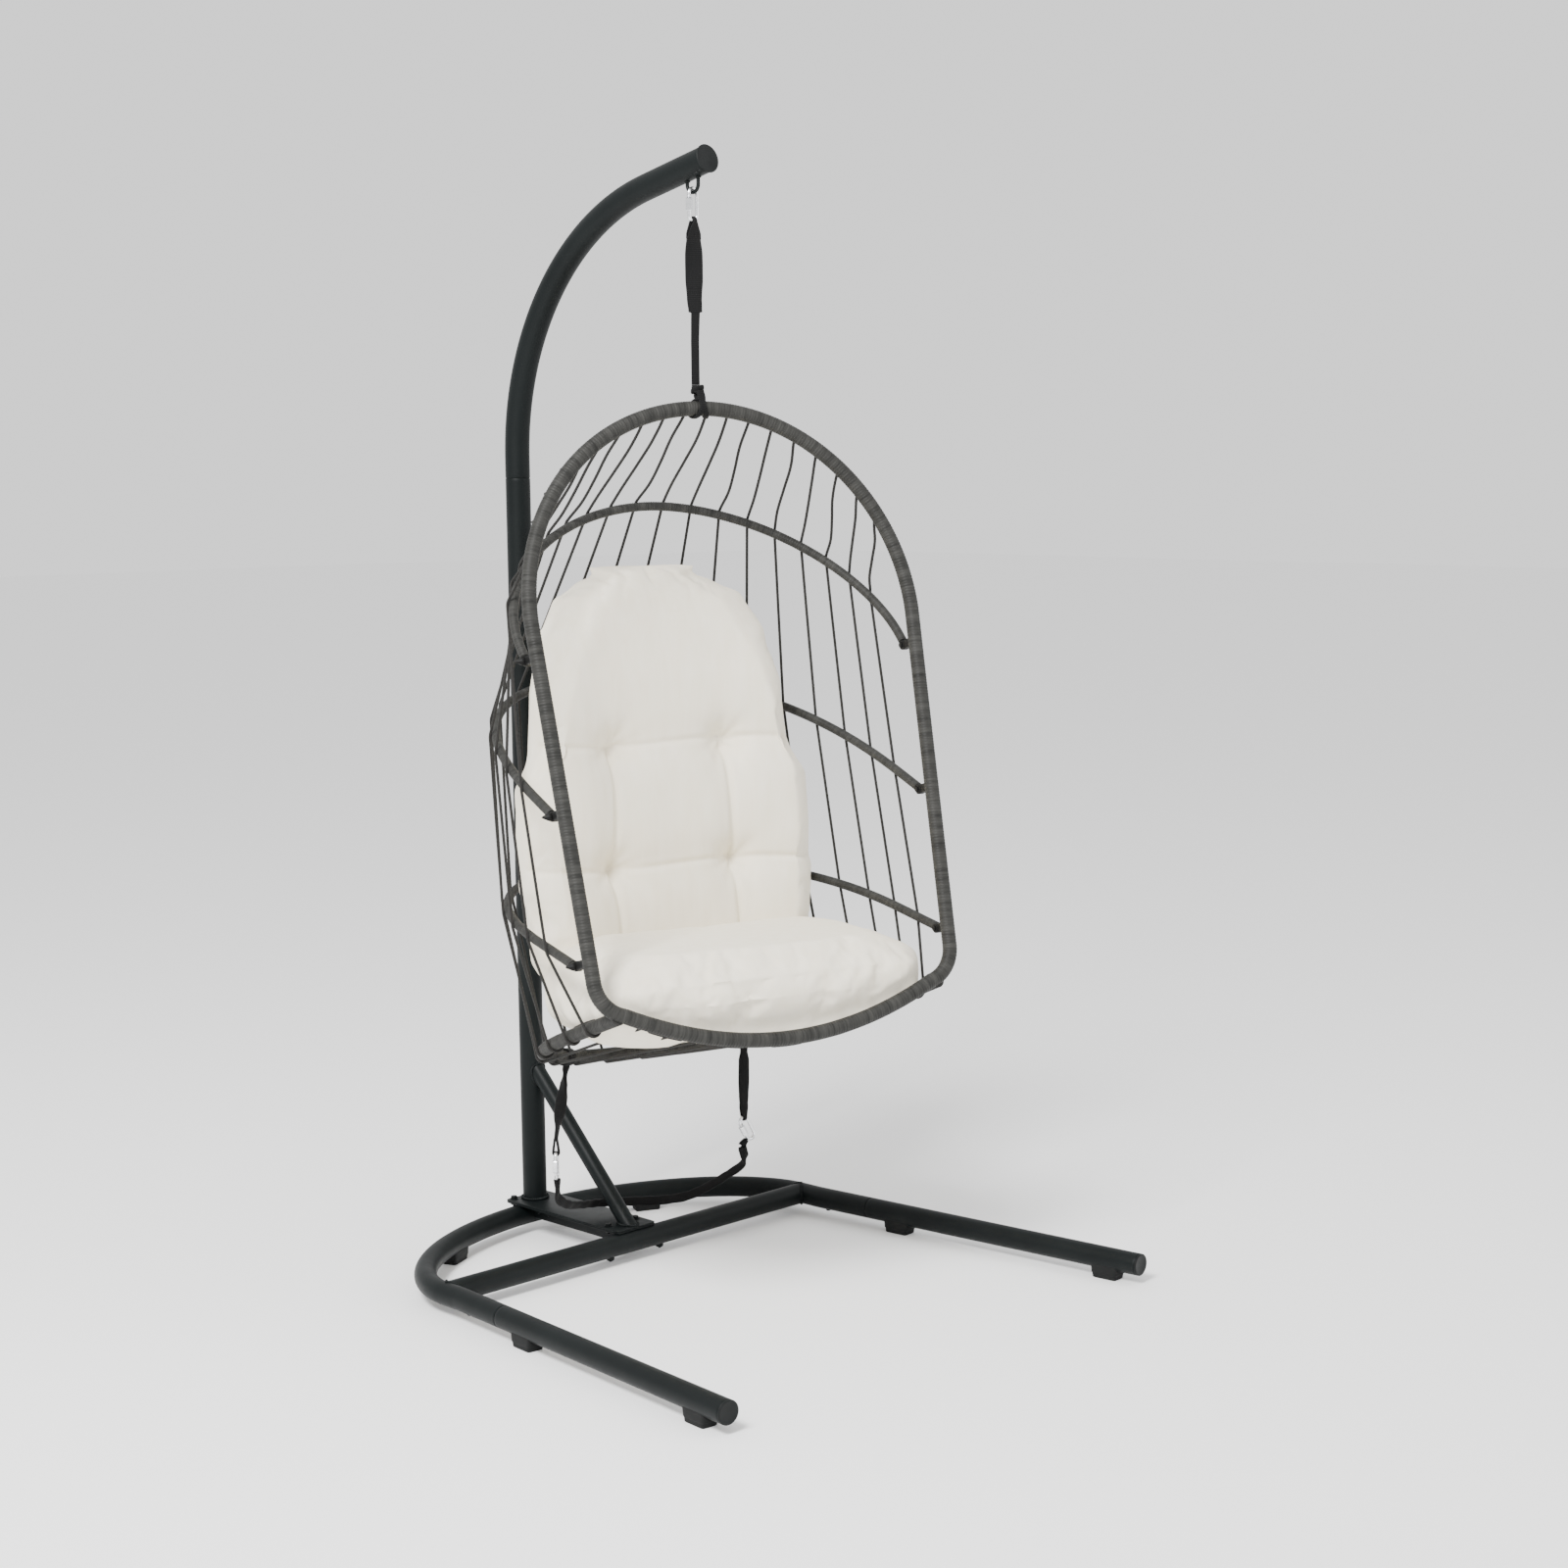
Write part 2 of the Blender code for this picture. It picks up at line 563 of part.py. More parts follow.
def build_feet(rubber):
    arc = arc_path()
    arc_hole = bpy.data.objects["cut_arc"]
    for side, sign in (("left", -1), ("right", 1)):
        line = leg_direction(sign)
        seam = base_point(sign * LEG_SEAM[0], LEG_SEAM[1])
        length = (Vector(LEG_TIP) - Vector(LEG_SEAM)).length
        tube = make_cutter("cut_leg_" + side, turned([(BASE_R + GAP, -0.01), (BASE_R + GAP, length + 0.05)],
                                                     BASE_SIDES, seam, line, closed=False))
        build_foot("foot_middle_" + side, seam + line * FOOT_MIDDLE, line, rubber, tube)
        build_foot("foot_front_" + side, seam + line * (length - FOOT_FRONT), line, rubber, tube)
        steps = [along(arc, i * 0.002) for i in range(200, 900)]
        spot, direction = min(steps, key=lambda step: abs(step[0].x - sign * FOOT_REAR_X))
        build_foot("foot_rear_" + side, spot, direction, rubber, arc_hole)


# ============================================================================================
# suspension
# ============================================================================================
def link_matrix(top, tilt=0.0, turn=0.0):
    """Places a link drawn in the plane X-Z with its upper bow at the origin.

    The link tilts about the middle of that bow, so the bow stays where it hangs."""
    drop = Matrix.Translation((0, 0, LINK_HALF_WIDTH))
    lean = drop.inverted() @ Matrix.Rotation(tilt, 4, "Y") @ drop
    return Matrix.Translation(top) @ Matrix.Rotation(turn, 4, "Z") @ lean


def build_link(name, length, matrix, steel, parent=None, origin=(0, 0, 0)):
    """A quick link: a bent rod with a gap in one long side, closed by a six-sided sleeve."""
    gap_half = SLEEVE_LENGTH * 0.28
    straight = length - 2 * LINK_HALF_WIDTH
    middle = -length / 2
    points = [(-LINK_HALF_WIDTH, middle + gap_half), (-LINK_HALF_WIDTH, middle + straight / 2)]
    for i in range(1, 8):
        t = math.pi * i / 8
        points.append((-LINK_HALF_WIDTH * math.cos(t),
                       middle + straight / 2 + LINK_HALF_WIDTH * math.sin(t)))
    points += [(LINK_HALF_WIDTH, middle + straight / 2), (LINK_HALF_WIDTH, middle - straight / 2)]
    for i in range(1, 8):
        t = math.pi * i / 8
        points.append((LINK_HALF_WIDTH * math.cos(t),
                       middle - straight / 2 - LINK_HALF_WIDTH * math.sin(t)))
    points += [(-LINK_HALF_WIDTH, middle - straight / 2), (-LINK_HALF_WIDTH, middle - gap_half)]
    bm = sweep([(x, 0, z) for x, z in points], circle(LINK_ROD_R, 8), side=(0, 1, 0))
    bmesh.ops.transform(bm, matrix=matrix, verts=bm.verts[:])
    make_object(name, bm, steel, parent, origin)
    bore = LINK_ROD_R + GAP
    half = SLEEVE_LENGTH / 2
    profile = [(bore, -half), (SLEEVE_R * 0.9, -half), (SLEEVE_R, -half + 0.001),
               (SLEEVE_R, half - 0.001), (SLEEVE_R * 0.9, half), (bore, half)]
    sleeve = turned(profile, 12, (-LINK_HALF_WIDTH, 0, middle))
    bmesh.ops.transform(sleeve, matrix=matrix, verts=sleeve.verts[:])
    make_object(name + "_sleeve", sleeve, steel, parent, origin)


def web_loop(drop, width, neck, below=True):
    """A closed band of webbing through a link, round a bow along X at the origin.

    It is neck wide on the bow and opens to its full width; its two ends meet at drop."""
    radius = LINK_ROD_R + BAND_EASE + WEB_T / 2
    side = 1 if below else -1
    points = []
    scales = []
    for i in range(9):
        t = math.pi * i / 8
        points.append(Vector((0, -radius * math.cos(t), side * radius * math.sin(t))))
        scales.append((neck / width, 1.0))
    pinch = WEB_T / 2 + 0.0002
    ends = [(radius * 0.8, 0.38 * drop, 0.9), (pinch, drop, 1.0)]
    for y, fall, share in ends:
        points.append(Vector((0, y, -side * fall)))
        scales.append((share, 1.0))
    for y, fall, share in reversed(ends):
        points.append(Vector((0, -y, -side * fall)))
        scales.append((share, 1.0))
    return sweep(points, rectangle(width, WEB_T), closed=True, side=(1, 0, 0), scales=scales)


def build_hang_strap(webbing, link_low):
    """The doubled webbing from the link down to the hitch, narrowing on its way."""
    loop = web_loop(0.032, STRAP_TOP_WIDTH, LINK_NECK)
    bmesh.ops.translate(loop, vec=(0, HANG_Y, link_low), verts=loop.verts[:])
    origin = (0, HANG_Y, link_low)
    strap = make_object("hang_strap", loop, webbing, origin=origin)
    neck = STRAP_NECK_Z - link_low
    rows = ((-0.029, STRAP_TOP_WIDTH, 0.0), (-0.060, STRAP_TOP_WIDTH, 0.6),
            (-0.095, STRAP_TOP_WIDTH * 0.97, 1.0), (neck, STRAP_NECK_WIDTH, 1.0),
            (neck - 0.006, STRAP_LOW_WIDTH, 1.0), (HITCH_TOP_Z - link_low, STRAP_LOW_WIDTH, 1.0))
    bm = stack([((0, HANG_Y, link_low + height), width, 2 * WEB_T + 0.0004, STRAP_TURN * twist)
                for height, width, twist in rows])
    body = make_cutter("join_strap_body", bm)
    boolean(strap, body, "UNION")


# ============================================================================================
# basket
# ============================================================================================
def rim_point(w, down):
    """A point of the leaning rim plane, down metres below its top."""
    return Vector((w, RIM_TOP[0] - down * math.sin(RIM_LEAN), RIM_TOP[1] - down * math.cos(RIM_LEAN)))


def rim_half():
    """One half of the rim's outline as (w, down), from the top to the lowest point."""
    points = [(RIM_ARCH_R * math.sin(t), RIM_ARCH_R * (1 - math.cos(t)))
              for t in (math.pi / 2 * i / 11 for i in range(12))]
    corner_w = RIM_FOOT_HALF - RIM_CORNER_R
    points.append((RIM_FOOT_HALF, RIM_SIDE_END))
    for i in range(1, 5):
        t = math.radians(76) * i / 4
        points.append((corner_w + RIM_CORNER_R * math.cos(t), RIM_SIDE_END + RIM_CORNER_R * math.sin(t)))
    last_w, last_down = points[-1]
    sag = RIM_BOTTOM - last_down
    for i in range(1, 7):
        w = last_w * (1 - i / 6)
        points.append((w, last_down + sag * (1 - (w / last_w) ** 2)))
    return points


def rim_path():
    half = rim_half()
    left = [(-w, down) for w, down in reversed(half[1:-1])]
    return [rim_point(w, down) for w, down in half + left]


def rim_side_w(z):
    """The rim's half width on its straight sides, at a height."""
    down = (RIM_TOP[1] - z) / math.cos(RIM_LEAN)
    share = (down - RIM_ARCH_R) / (RIM_SIDE_END - RIM_ARCH_R)
    return RIM_ARCH_R + (RIM_FOOT_HALF - RIM_ARCH_R) * share


def rim_a(z):
    return RIM_TOP[0] - (RIM_TOP[1] - z) * math.tan(RIM_LEAN)


def hoop_half(hoop):
    """Half of a hoop's centreline, from the middle of its back to its right-hand end."""
    bolt_a = rim_a(hoop["bolt_z"]) + HOOP_BOLT_BACK
    front = bolt_a + (CLAMP_EYE_R + GAP) * math.cos(hoop["tilt"])

    def lift(a):
        return hoop["bolt_z"] + (a - bolt_a) * math.tan(hoop["tilt"])
    flat = list(reversed(bow(hoop["half"], hoop["depth"], hoop["mid"], hoop["power"], 10)))
    flat.append((hoop["half"], front))
    return [Vector((w, a, lift(a))) for w, a in flat]


def seat_half():
    """Half of the seat frame's centreline, from the middle of its back to the rim."""
    flat = list(reversed(bow(SEAT_HALF, SEAT_DEPTH, SEAT_MID, SEAT_POWER, 10)))
    flat.append((SEAT_FRONT_HALF, SEAT_FRONT[0]))
    return [Vector((w, a, SEAT_FRONT[1] + (a - SEAT_FRONT[0]) * math.tan(SEAT_TILT))) for w, a in flat]


def mirrored(half):
    """A whole symmetric path from its half; both ends are kept."""
    return half[::-1] + [Vector((-p.x, p.y, p.z)) for p in half[1:]]


def build_frame(wicker, basket):
    make_object("rim", sweep(rim_path(), circle(RIM_R, 8), closed=True,
                             side=(0, math.cos(RIM_LEAN), -math.sin(RIM_LEAN))), wicker, basket)
    rim_hole = make_cutter("cut_rim", sweep(rim_path(), circle(RIM_R + GAP, 8), closed=True,
                                            side=(0, math.cos(RIM_LEAN), -math.sin(RIM_LEAN))), basket)
    for name, hoop in HOOPS.items():
        side = (0, -math.sin(hoop["tilt"]), math.cos(hoop["tilt"]))
        make_object(name, sweep(mirrored(hoop_half(hoop)), circle(HOOP_R, 8), side=side), wicker, basket)
    side = (0, -math.sin(SEAT_TILT), math.cos(SEAT_TILT))
    seat = make_object("seat_frame", sweep(mirrored(seat_half()), circle(SEAT_R, 8), side=side),
                       wicker, basket)
    boolean(seat, rim_hole)
    return rim_hole


def build_clamps(fitting, basket, rim_hole):
    """A dark clamp and its bolt at both ends of each hoop."""
    for name, hoop in HOOPS.items():
        z = hoop["bolt_z"]
        for side, sign in (("left", -1), ("right", 1)):
            w = sign * (rim_side_w(z) + hoop["half"]) / 2
            bolt_at = Vector((w, rim_a(z) + HOOP_BOLT_BACK, z))
            square = Vector((0, math.cos(RIM_LEAN), -math.sin(RIM_LEAN)))
            length = HOOP_BOLT_BACK * math.cos(RIM_LEAN)
            turn = Matrix.Rotation(-RIM_LEAN, 4, "X")
            tongue = block((CLAMP_THICK, length, CLAMP_HEIGHT), bolt_at - square * (length / 2), turn)
            clamp = make_object(name + "_clamp_" + side, tongue, fitting, basket, smooth=False)
            half = CLAMP_THICK / 2
            profile = [(0.0045, -half - 0.003), (0.0045, -half - 0.0006), (CLAMP_EYE_R, -half - 0.0006),
                       (CLAMP_EYE_R, half + 0.0006), (0.0045, half + 0.0006), (0.0045, half + 0.004),
                       (0.0062, half + 0.004), (0.0050, half + 0.009), (0.0012, half + 0.016)]
            bolt = make_cutter("join_bolt_" + name + side,
                               turned(profile, 12, bolt_at, (sign, 0, 0), closed=False), basket)
            boolean(clamp, bolt, "UNION")
            boolean(clamp, rim_hole)


def build_hitch(webbing, basket):
    """Two turns of webbing round the rim's top and the knot above them."""
    top = Vector((0, *RIM_TOP))
    band = RIM_R + BAND_T / 2 + 0.0011
    first = None
    for offset in (-HITCH_SPREAD, HITCH_SPREAD):
        loop = [top + Vector((offset, band * math.cos(t), band * math.sin(t)))
                for t in (2 * math.pi * i / 14 for i in range(14))]
        ring = sweep(loop, rectangle(0.0085, BAND_T), closed=True, side=(1, 0, 0))
        if first is None:
            first = make_object("rim_hitch", ring, webbing, basket, origin=(0, 0, 0))
        else:
            boolean(first, make_cutter("join_hitch_ring", ring, basket), "UNION")
    low = RIM_TOP[1] + RIM_R + 0.0016
    rise = HITCH_TOP_Z - GAP - low
    turn = STRAP_TURN - BASKET_TURN
    rows = [((0, RIM_TOP[0] * (1 - share), low + rise * share), width, thickness, turn * share)
            for share, width, thickness in ((0.0, 0.026, 0.009), (0.35, 0.027, 0.012),
                                            (0.7, 0.021, 0.010), (1.0, 0.013, 0.0060))]
    boolean(first, make_cutter("join_knot", stack(rows), basket), "UNION")


# ---- ropes ---------------------------------------------------------------------------------
def rope_loop(centre, tangent, start, radius, turn, steps, pitch):
    """Points of a turn round a bar, from the direction start, moving pitch along the bar."""
    tangent = tangent.normalized()
    first = (start - tangent * start.dot(tangent)).normalized()
    points = []
    for i in range(steps + 1):
        share = i / steps
        spin = Matrix.Rotation(turn * share, 3, tangent)
        points.append(centre + spin @ first * radius + tangent * (pitch * share))
    return points


def rim_anchor(k, sign):
    """Where strand k holds the rim: a point on the arch and the rim's direction there."""
    t = 0.056 + 0.108 * k + 0.0028 * k * k
    point = rim_point(sign * RIM_ARCH_R * math.sin(t), RIM_ARCH_R * (1 - math.cos(t)))
    ahead = rim_point(sign * RIM_ARCH_R * math.sin(t + 0.01), RIM_ARCH_R * (1 - math.cos(t + 0.01)))
    return point, (ahead - point).normalized()


def hoop_anchor(name, k, sign):
    """Where strand k crosses a hoop, and the hoop's direction there."""
    path = [Vector((p.x * sign, p.y, p.z)) for p in hoop_half(HOOPS[name])]
    return along(path, (k + 0.5) * HOOPS[name]["rope_step"])


def strand_down(k, sign):
    """Strand k from its turn round the rim, over the outside of the three hoops."""
    centre, tangent = rim_anchor(k, sign)
    back = Vector((0, math.cos(RIM_LEAN), -math.sin(RIM_LEAN)))
    reach = (RIM_R + ROPE_R + GAP) * ROPE_EASE
    points = rope_loop(centre, tangent, back, reach, sign * math.radians(-315), 7, 0.0065)
    over = (HOOP_R + ROPE_R + GAP) * HOOP_EASE
    spots = [centre] + [hoop_anchor(name, k, sign)[0] for name in HOOPS] + [seat_anchor(k, sign)[0]]
    for i, name in enumerate(HOOPS, start=1):
        direction = hoop_anchor(name, k, sign)[1]
        arriving = (spots[i] - spots[i - 1]).normalized()
        leaving = (spots[i + 1] - spots[i]).normalized()
        outward = (arriving + leaving).cross(direction).normalized() * -sign
        point = spots[i] + outward * over
        if i == 1:
            start = points[-1]
            sway = ROPE_SWAY * math.sin(1.7 * k + sign)
            for share, bend in ((0.33, 1), (0.66, -1)):
                points.append(start.lerp(point, share) + Vector((sway * bend, 0, -ROPE_SAG)))
        points.append(point)
    return points


def seat_anchor(k, sign):
    path = [Vector((p.x * sign, p.y, p.z)) for p in seat_half()]
    spot, direction = along(path, (k + 0.5) * SEAT_ROPE_STEP)
    return spot, direction


def seat_wrap(k, sign, degrees_list):
    """Points round the seat frame at strand k; 0 degrees is outward, 90 is straight down."""
    spot, direction = seat_anchor(k, sign)
    outward = Vector((0, 0, 1)).cross(direction) * sign
    outward = outward.normalized()
    down = direction.cross(outward).normalized()
    if down.z > 0:
        down = -down
    reach = (SEAT_R + ROPE_R + GAP) * ROPE_EASE
    return [spot + (outward * math.cos(math.radians(d)) + down * math.sin(math.radians(d))) * reach
            for d in degrees_list]


def front_bar(w):
    """The middle of the rim's lower bar at a distance w from the centre plane."""
    below = [point for point in rim_half() if point[1] > RIM_SIDE_END]
    for (w0, down0), (w1, down1) in zip(below, below[1:]):
        if w1 <= abs(w) <= w0:
            share = (abs(w) - w1) / (w0 - w1)
            return rim_point(w, down1 + (down0 - down1) * share)
    return rim_point(w, below[0][1])


def front_wrap(w, degrees_list):
    """Points round the rim's lower bar; 0 degrees is straight down, 90 is forward."""
    reach = (RIM_R + ROPE_R + GAP) * ROPE_EASE
    turns = [math.radians(d) for d in degrees_list]
    return [front_bar(w) + Vector((0, -math.sin(t), -math.cos(t))) * reach for t in turns]


def side_rope(k, sign):
    """Strands k and k - 1 as one rope that turns under the seat frame's side."""
    first, second = strand_down(k, sign), strand_down(k - 1, sign)
    turn = seat_wrap(k, sign, (0, 60, 120, 180, 240))
    back = seat_wrap(k - 1, sign, (240, 180, 120, 60, 0))
    return first + turn + back + second[::-1]


def seat_rope(k, sign, other, other_sign):
    """Two strands that run on under the seat and turn over the rim's lower bar."""
    first, second = strand_down(k, sign), strand_down(other, other_sign)
    w_first = sign * (k + 0.5) * FRONT_ROPE_STEP
    w_second = other_sign * (other + 0.5) * FRONT_ROPE_STEP
    return (first + seat_wrap(k, sign, (0, 45, 90)) + front_wrap(w_first, (-20, 30, 90, 140))
            + front_wrap(w_second, (140, 90, 30, -20)) + seat_wrap(other, other_sign, (90, 45, 0))
            + second[::-1])


def build_ropes(rope_material, basket):
    for side, sign in (("left", -1), ("right", 1)):
        routes = {"rope_side_front_" + side: side_rope(8, sign),
                  "rope_side_rear_" + side: side_rope(6, sign),
                  "rope_back_outer_" + side: seat_rope(4, sign, 3, sign),
                  "rope_back_inner_" + side: seat_rope(2, sign, 1, sign)}
        for name, route in routes.items():
            make_object(name, sweep(route, circle(ROPE_R, ROPE_SIDES)), rope_material, basket)
    make_object("rope_back_middle", sweep(seat_rope(0, -1, 0, 1), circle(ROPE_R, ROPE_SIDES)),
                rope_material, basket)


# ---- cushions ------------------------------------------------------------------------------
def back_cushion_face(z):
    """a of the back cushion's front face at a height."""
    (foot_a, foot_z), (head_a, head_z) = BACK_CUSHION_FOOT, BACK_CUSHION_HEAD
    front = min(front for _, _, front, _ in BACK_OUTLINE)
    slope = (head_a - foot_a) / (head_z - foot_z)
    return foot_a + (z - foot_z) * slope + front * math.hypot(1, slope)


def rear_bar(w):
    """The middle of the seat frame behind a distance w from the centre plane."""
    a = SEAT_MID + SEAT_DEPTH * (1 - abs(w / SEAT_HALF) ** SEAT_POWER) ** (1 / SEAT_POWER)
    return Vector((w, a, SEAT_FRONT[1] + (a - SEAT_FRONT[0]) * math.tan(SEAT_TILT)))


def strand_z(w, a):
    """Height of the strands under the seat, which run from the seat frame to the rim."""
    front, rear = front_bar(w), rear_bar(w)
    share = (a - front.y) / (rear.y - front.y)
    low_front = front.z - (RIM_R + ROPE_R) * ROPE_EASE
    low_rear = rear.z - (SEAT_R + ROPE_R) * ROPE_EASE
    return low_front + (low_rear - low_front) * share


def build_seat_cushion(fabric, basket):
    """A thick pad: its front on the rim's bar, the rest on the strands, its back upright."""
    back = back_cushion_face(SEAT_CUSHION_TOP) - GAP
    across = (-1.0, -0.8, -0.45, 0.0, 0.45, 0.8, 1.0)
    bm = bmesh.new()
    rings = []
    # each row: distance behind the rim's bar, half width below and above, height of the top
    rows = ((-0.010, 0.225, 0.235, 0.600), (0.006, 0.262, 0.275, 0.632), (0.046, 0.272, 0.300, 0.640),
            (0.120, 0.276, 0.318, 0.640), (0.210, 0.276, 0.322, 0.640), (0.300, 0.268, 0.305, 0.640),
            (None, 0.235, 0.262, 0.636))
    for reach, low_half, high_half, top in rows:
        ring = []
        for share in across:
            w = share * low_half
            bar = front_bar(w)
            a = back_cushion_face(0.45) - GAP if reach is None else bar.y + reach
            on_bar = bar.z + RIM_R + SEAT_CUSHION_GAP
            on_ropes = strand_z(w, a) + ROPE_R + SEAT_CUSHION_GAP
            if reach is not None and reach < 0.02:
                z = on_bar + (0.006 if reach < 0 else 0.0)
            elif reach == 0.046:
                z = bar.z + 0.002
            else:
                z = on_ropes
            if reach is None:
                a = back_cushion_face(z) - GAP
            ring.append(Vector((w, a, z)))
        middle_z = 0.590
        upper = []
        for share, height in ((1.0, middle_z), (1.0, top - 0.014), (0.88, top), (0.45, top), (0.0, top),
                              (-0.45, top), (-0.88, top), (-1.0, top - 0.014), (-1.0, middle_z)):
            w = share * high_half
            if reach is None:
                a = back_cushion_face(height) - GAP
            else:
                a = front_bar(min(abs(w), low_half)).y + reach
            upper.append(Vector((w, a, height)))
        rings.append([bm.verts.new(p) for p in ring + upper])
    skin(bm, rings)
    bm.faces.new(rings[0])
    bm.faces.new(rings[-1])
    make_object("seat_cushion", bm, fabric, basket)


def build_back_cushion(fabric, basket):
    """A tall pillow: flat in front, its back bowed to follow the basket, thin at its rim."""
    foot, head = Vector(BACK_CUSHION_FOOT), Vector(BACK_CUSHION_HEAD)
    length = (head - foot).length
    lean = (head - foot).normalized()
    normal = Vector((lean.y, -lean.x))
    bm = bmesh.new()
    rings = []
    for share, half, front, back in BACK_OUTLINE:
        edge = front + (back - front) * 0.15
        section = [(-half, edge), (-0.9 * half, front), (0, front), (0.9 * half, front), (half, edge)]
        section += [(x * half, back - BACK_CUSHION_BOW * (x * half) ** 2) for x in (0.92, 0.6, 0, -0.6, -0.92)]
        ring = []
        for w, offset in section:
            spot = foot + lean * (share * length) + normal * offset
            ring.append(bm.verts.new(Vector((w, spot.x, spot.y))))
        rings.append(ring)
    skin(bm, rings)
    bm.faces.new(rings[0])
    bm.faces.new(rings[-1])
    make_object("back_cushion", bm, fabric, basket)


# ---- tether --------------------------------------------------------------------------------
def build_lower_strap(side, tie, webbing, basket, axis):
    """Webbing hitched round the seat frame's back bar, ending in a loop through its link."""
    half = seat_half()
    hitch_w = tie["hitch_w"]
    steps = [along(half, i * 0.001) for i in range(600)]
    spot, direction = min(steps, key=lambda step: abs(step[0].x - abs(hitch_w)))
    spot = Vector((hitch_w, spot.y, spot.z))
    direction = Vector((math.copysign(1, hitch_w) * direction.x, direction.y, direction.z)).normalized()
    across = Vector((0, 0, 1)).cross(direction).normalized()
    up = direction.cross(across).normalized()
    band = SEAT_R + BAND_T / 2 + 0.0019
    loop = [spot + across * (band * math.cos(t)) + up * (band * math.sin(t))
            for t in (2 * math.pi * i / 14 for i in range(14))]
    ring = sweep(loop, rectangle(LOWER_STRAP_WIDTH * 0.8, BAND_T), closed=True, side=direction)
    strap = make_object("lower_strap_" + side, ring, webbing, basket, origin=axis)
    bow_top = Vector((tie["link_w"], spot.y, tie["link_z"]))
    loop_width = LOWER_STRAP_WIDTH * 0.75
    through = web_loop(0.026, loop_width, LINK_NECK, below=False)
    place = Matrix.Translation(bow_top) @ Matrix.Rotation(tie["turn"], 4, "Z")
    bmesh.ops.transform(through, matrix=place, verts=through.verts[:])
    boolean(strap, make_cutter("join_loop_" + side, through, basket), "UNION")
    high = Vector((spot.x, spot.y, spot.z - SEAT_R - 0.0022))
    rise = Vector((0, 0, 0.0235))
    low = bow_top + rise
    bar_turn = math.atan2(direction.y, direction.x)
    rows = []
    for share, width in ((0.0, LOWER_STRAP_WIDTH), (0.3, LOWER_STRAP_WIDTH * 0.75),
                         (0.75, LOWER_STRAP_WIDTH * 0.8), (1.0, loop_width)):
        turn = bar_turn + (tie["turn"] - bar_turn) * share
        rows.append((high.lerp(low, share), width, 2 * WEB_T + 0.0004, turn))
    boolean(strap, make_cutter("join_body_" + side, stack(rows), basket), "UNION")
    return bow_top


def build_safety_strap(webbing, tether, start, end, axis):
    """The limp strap between the two links, passing behind the stand's brace."""
    route = smooth_route([start[0], start[1]] + [Vector(p) for p in SAFETY_ROUTE] + [end[1], end[0]], 26)
    curve = bpy.data.curves.new("safety_strap", "CURVE")
    curve.dimensions = "3D"
    curve.bevel_depth = SAFETY_R
    curve.bevel_resolution = 2
    curve.use_fill_caps = True
    spline = curve.splines.new("POLY")
    spline.points.add(len(route) - 1)
    for point, spot in zip(spline.points, route):
        point.co = (*(spot - Vector(axis)), 1.0)
    curve.materials.append(webbing)
    item = bpy.data.objects.new("safety_strap", curve)
    item.location = axis
    item.parent = tether
    bpy.context.scene.collection.objects.link(item)


def build_tether(steel, webbing, basket):
    axis_z = SEAT_FRONT[1] + (TETHER_A - SEAT_FRONT[0]) * math.tan(SEAT_TILT)
    axis = (0.0, TETHER_A, axis_z)
    ends = []
    for side, tie in LOWER_TIES.items():
        bow = build_lower_strap(side, tie, webbing, basket, axis)
        matrix = link_matrix(bow, tie["tilt"], tie["turn"])
        build_link("lower_link_" + side, LOWER_LINK_LENGTH, matrix, steel, basket, axis)
        bow_centre = matrix @ Vector((0, 0, LINK_HALF_WIDTH - LOWER_LINK_LENGTH))
        away = Matrix.Rotation(tie["turn"], 3, "Z") @ Vector((math.sin(tie["leave"]), 0, -math.cos(tie["leave"])))
        reach = LINK_HALF_WIDTH + LINK_ROD_R + tie["clear"]
        ends.append((bow_centre + away * reach, bow_centre + away * (reach + 0.012)))
    build_safety_strap(webbing, basket, ends[0], ends[1], axis)


# ============================================================================================
def main():
    clear_scene()
    steel = make_material("stand_paint", (0.017, 0.020, 0.020), 0.42, 0.0)
    rubber = make_material("black_plastic", (0.012, 0.012, 0.012), 0.55, 0.0)
    zinc = make_material("zinc", (0.72, 0.73, 0.74), 0.28, 1.0)
    webbing = make_material("webbing", (0.010, 0.010, 0.011), 0.85, 0.0)
    wicker = make_material("wicker", (0.070, 0.070, 0.064), 0.62, 0.0)
    rope = make_material("rope", (0.045, 0.043, 0.040), 0.80, 0.0)
    fitting = make_material("fitting", (0.020, 0.020, 0.019), 0.50, 0.0)
    fabric = make_material("cushion_fabric", (0.86, 0.83, 0.73), 0.92, 0.0)

    build_base(steel, rubber)
    plate_top = build_plates(steel)
    arm_hole, post_hole = build_mast(steel, rubber, plate_top)
    build_brace(steel, post_hole, plate_top)
    build_eyelet(steel, arm_hole)
    build_feet(rubber)

    link_top = EYE_BOTTOM_Z + EYE_ROD_R + LINK_ROD_R + GAP
    matrix = link_matrix((0, HANG_Y, link_top))
    build_link("top_link", TOP_LINK_LENGTH, matrix, zinc, origin=(0, HANG_Y, EYE_BOTTOM_Z))
    build_hang_strap(webbing, link_top - TOP_LINK_LENGTH)

    basket = make_empty("basket_frame", (0, HANG_Y, 0), BASKET_TURN)
    rim_hole = build_frame(wicker, basket)
    build_clamps(fitting, basket, rim_hole)
    build_hitch(webbing, basket)
    build_ropes(rope, basket)
    build_seat_cushion(fabric, basket)
    build_back_cushion(fabric, basket)
    build_tether(zinc, webbing, basket)


main()
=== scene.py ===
"""Looks of the hanging egg chair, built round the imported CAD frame.

Metres, +Z up.  The basket is drawn in its own frame (w left to right, a towards its back, z up)
and placed by TO_WORLD, as in the CAD part.  Every piece rides on the CAD body it belongs to.
"""
import math

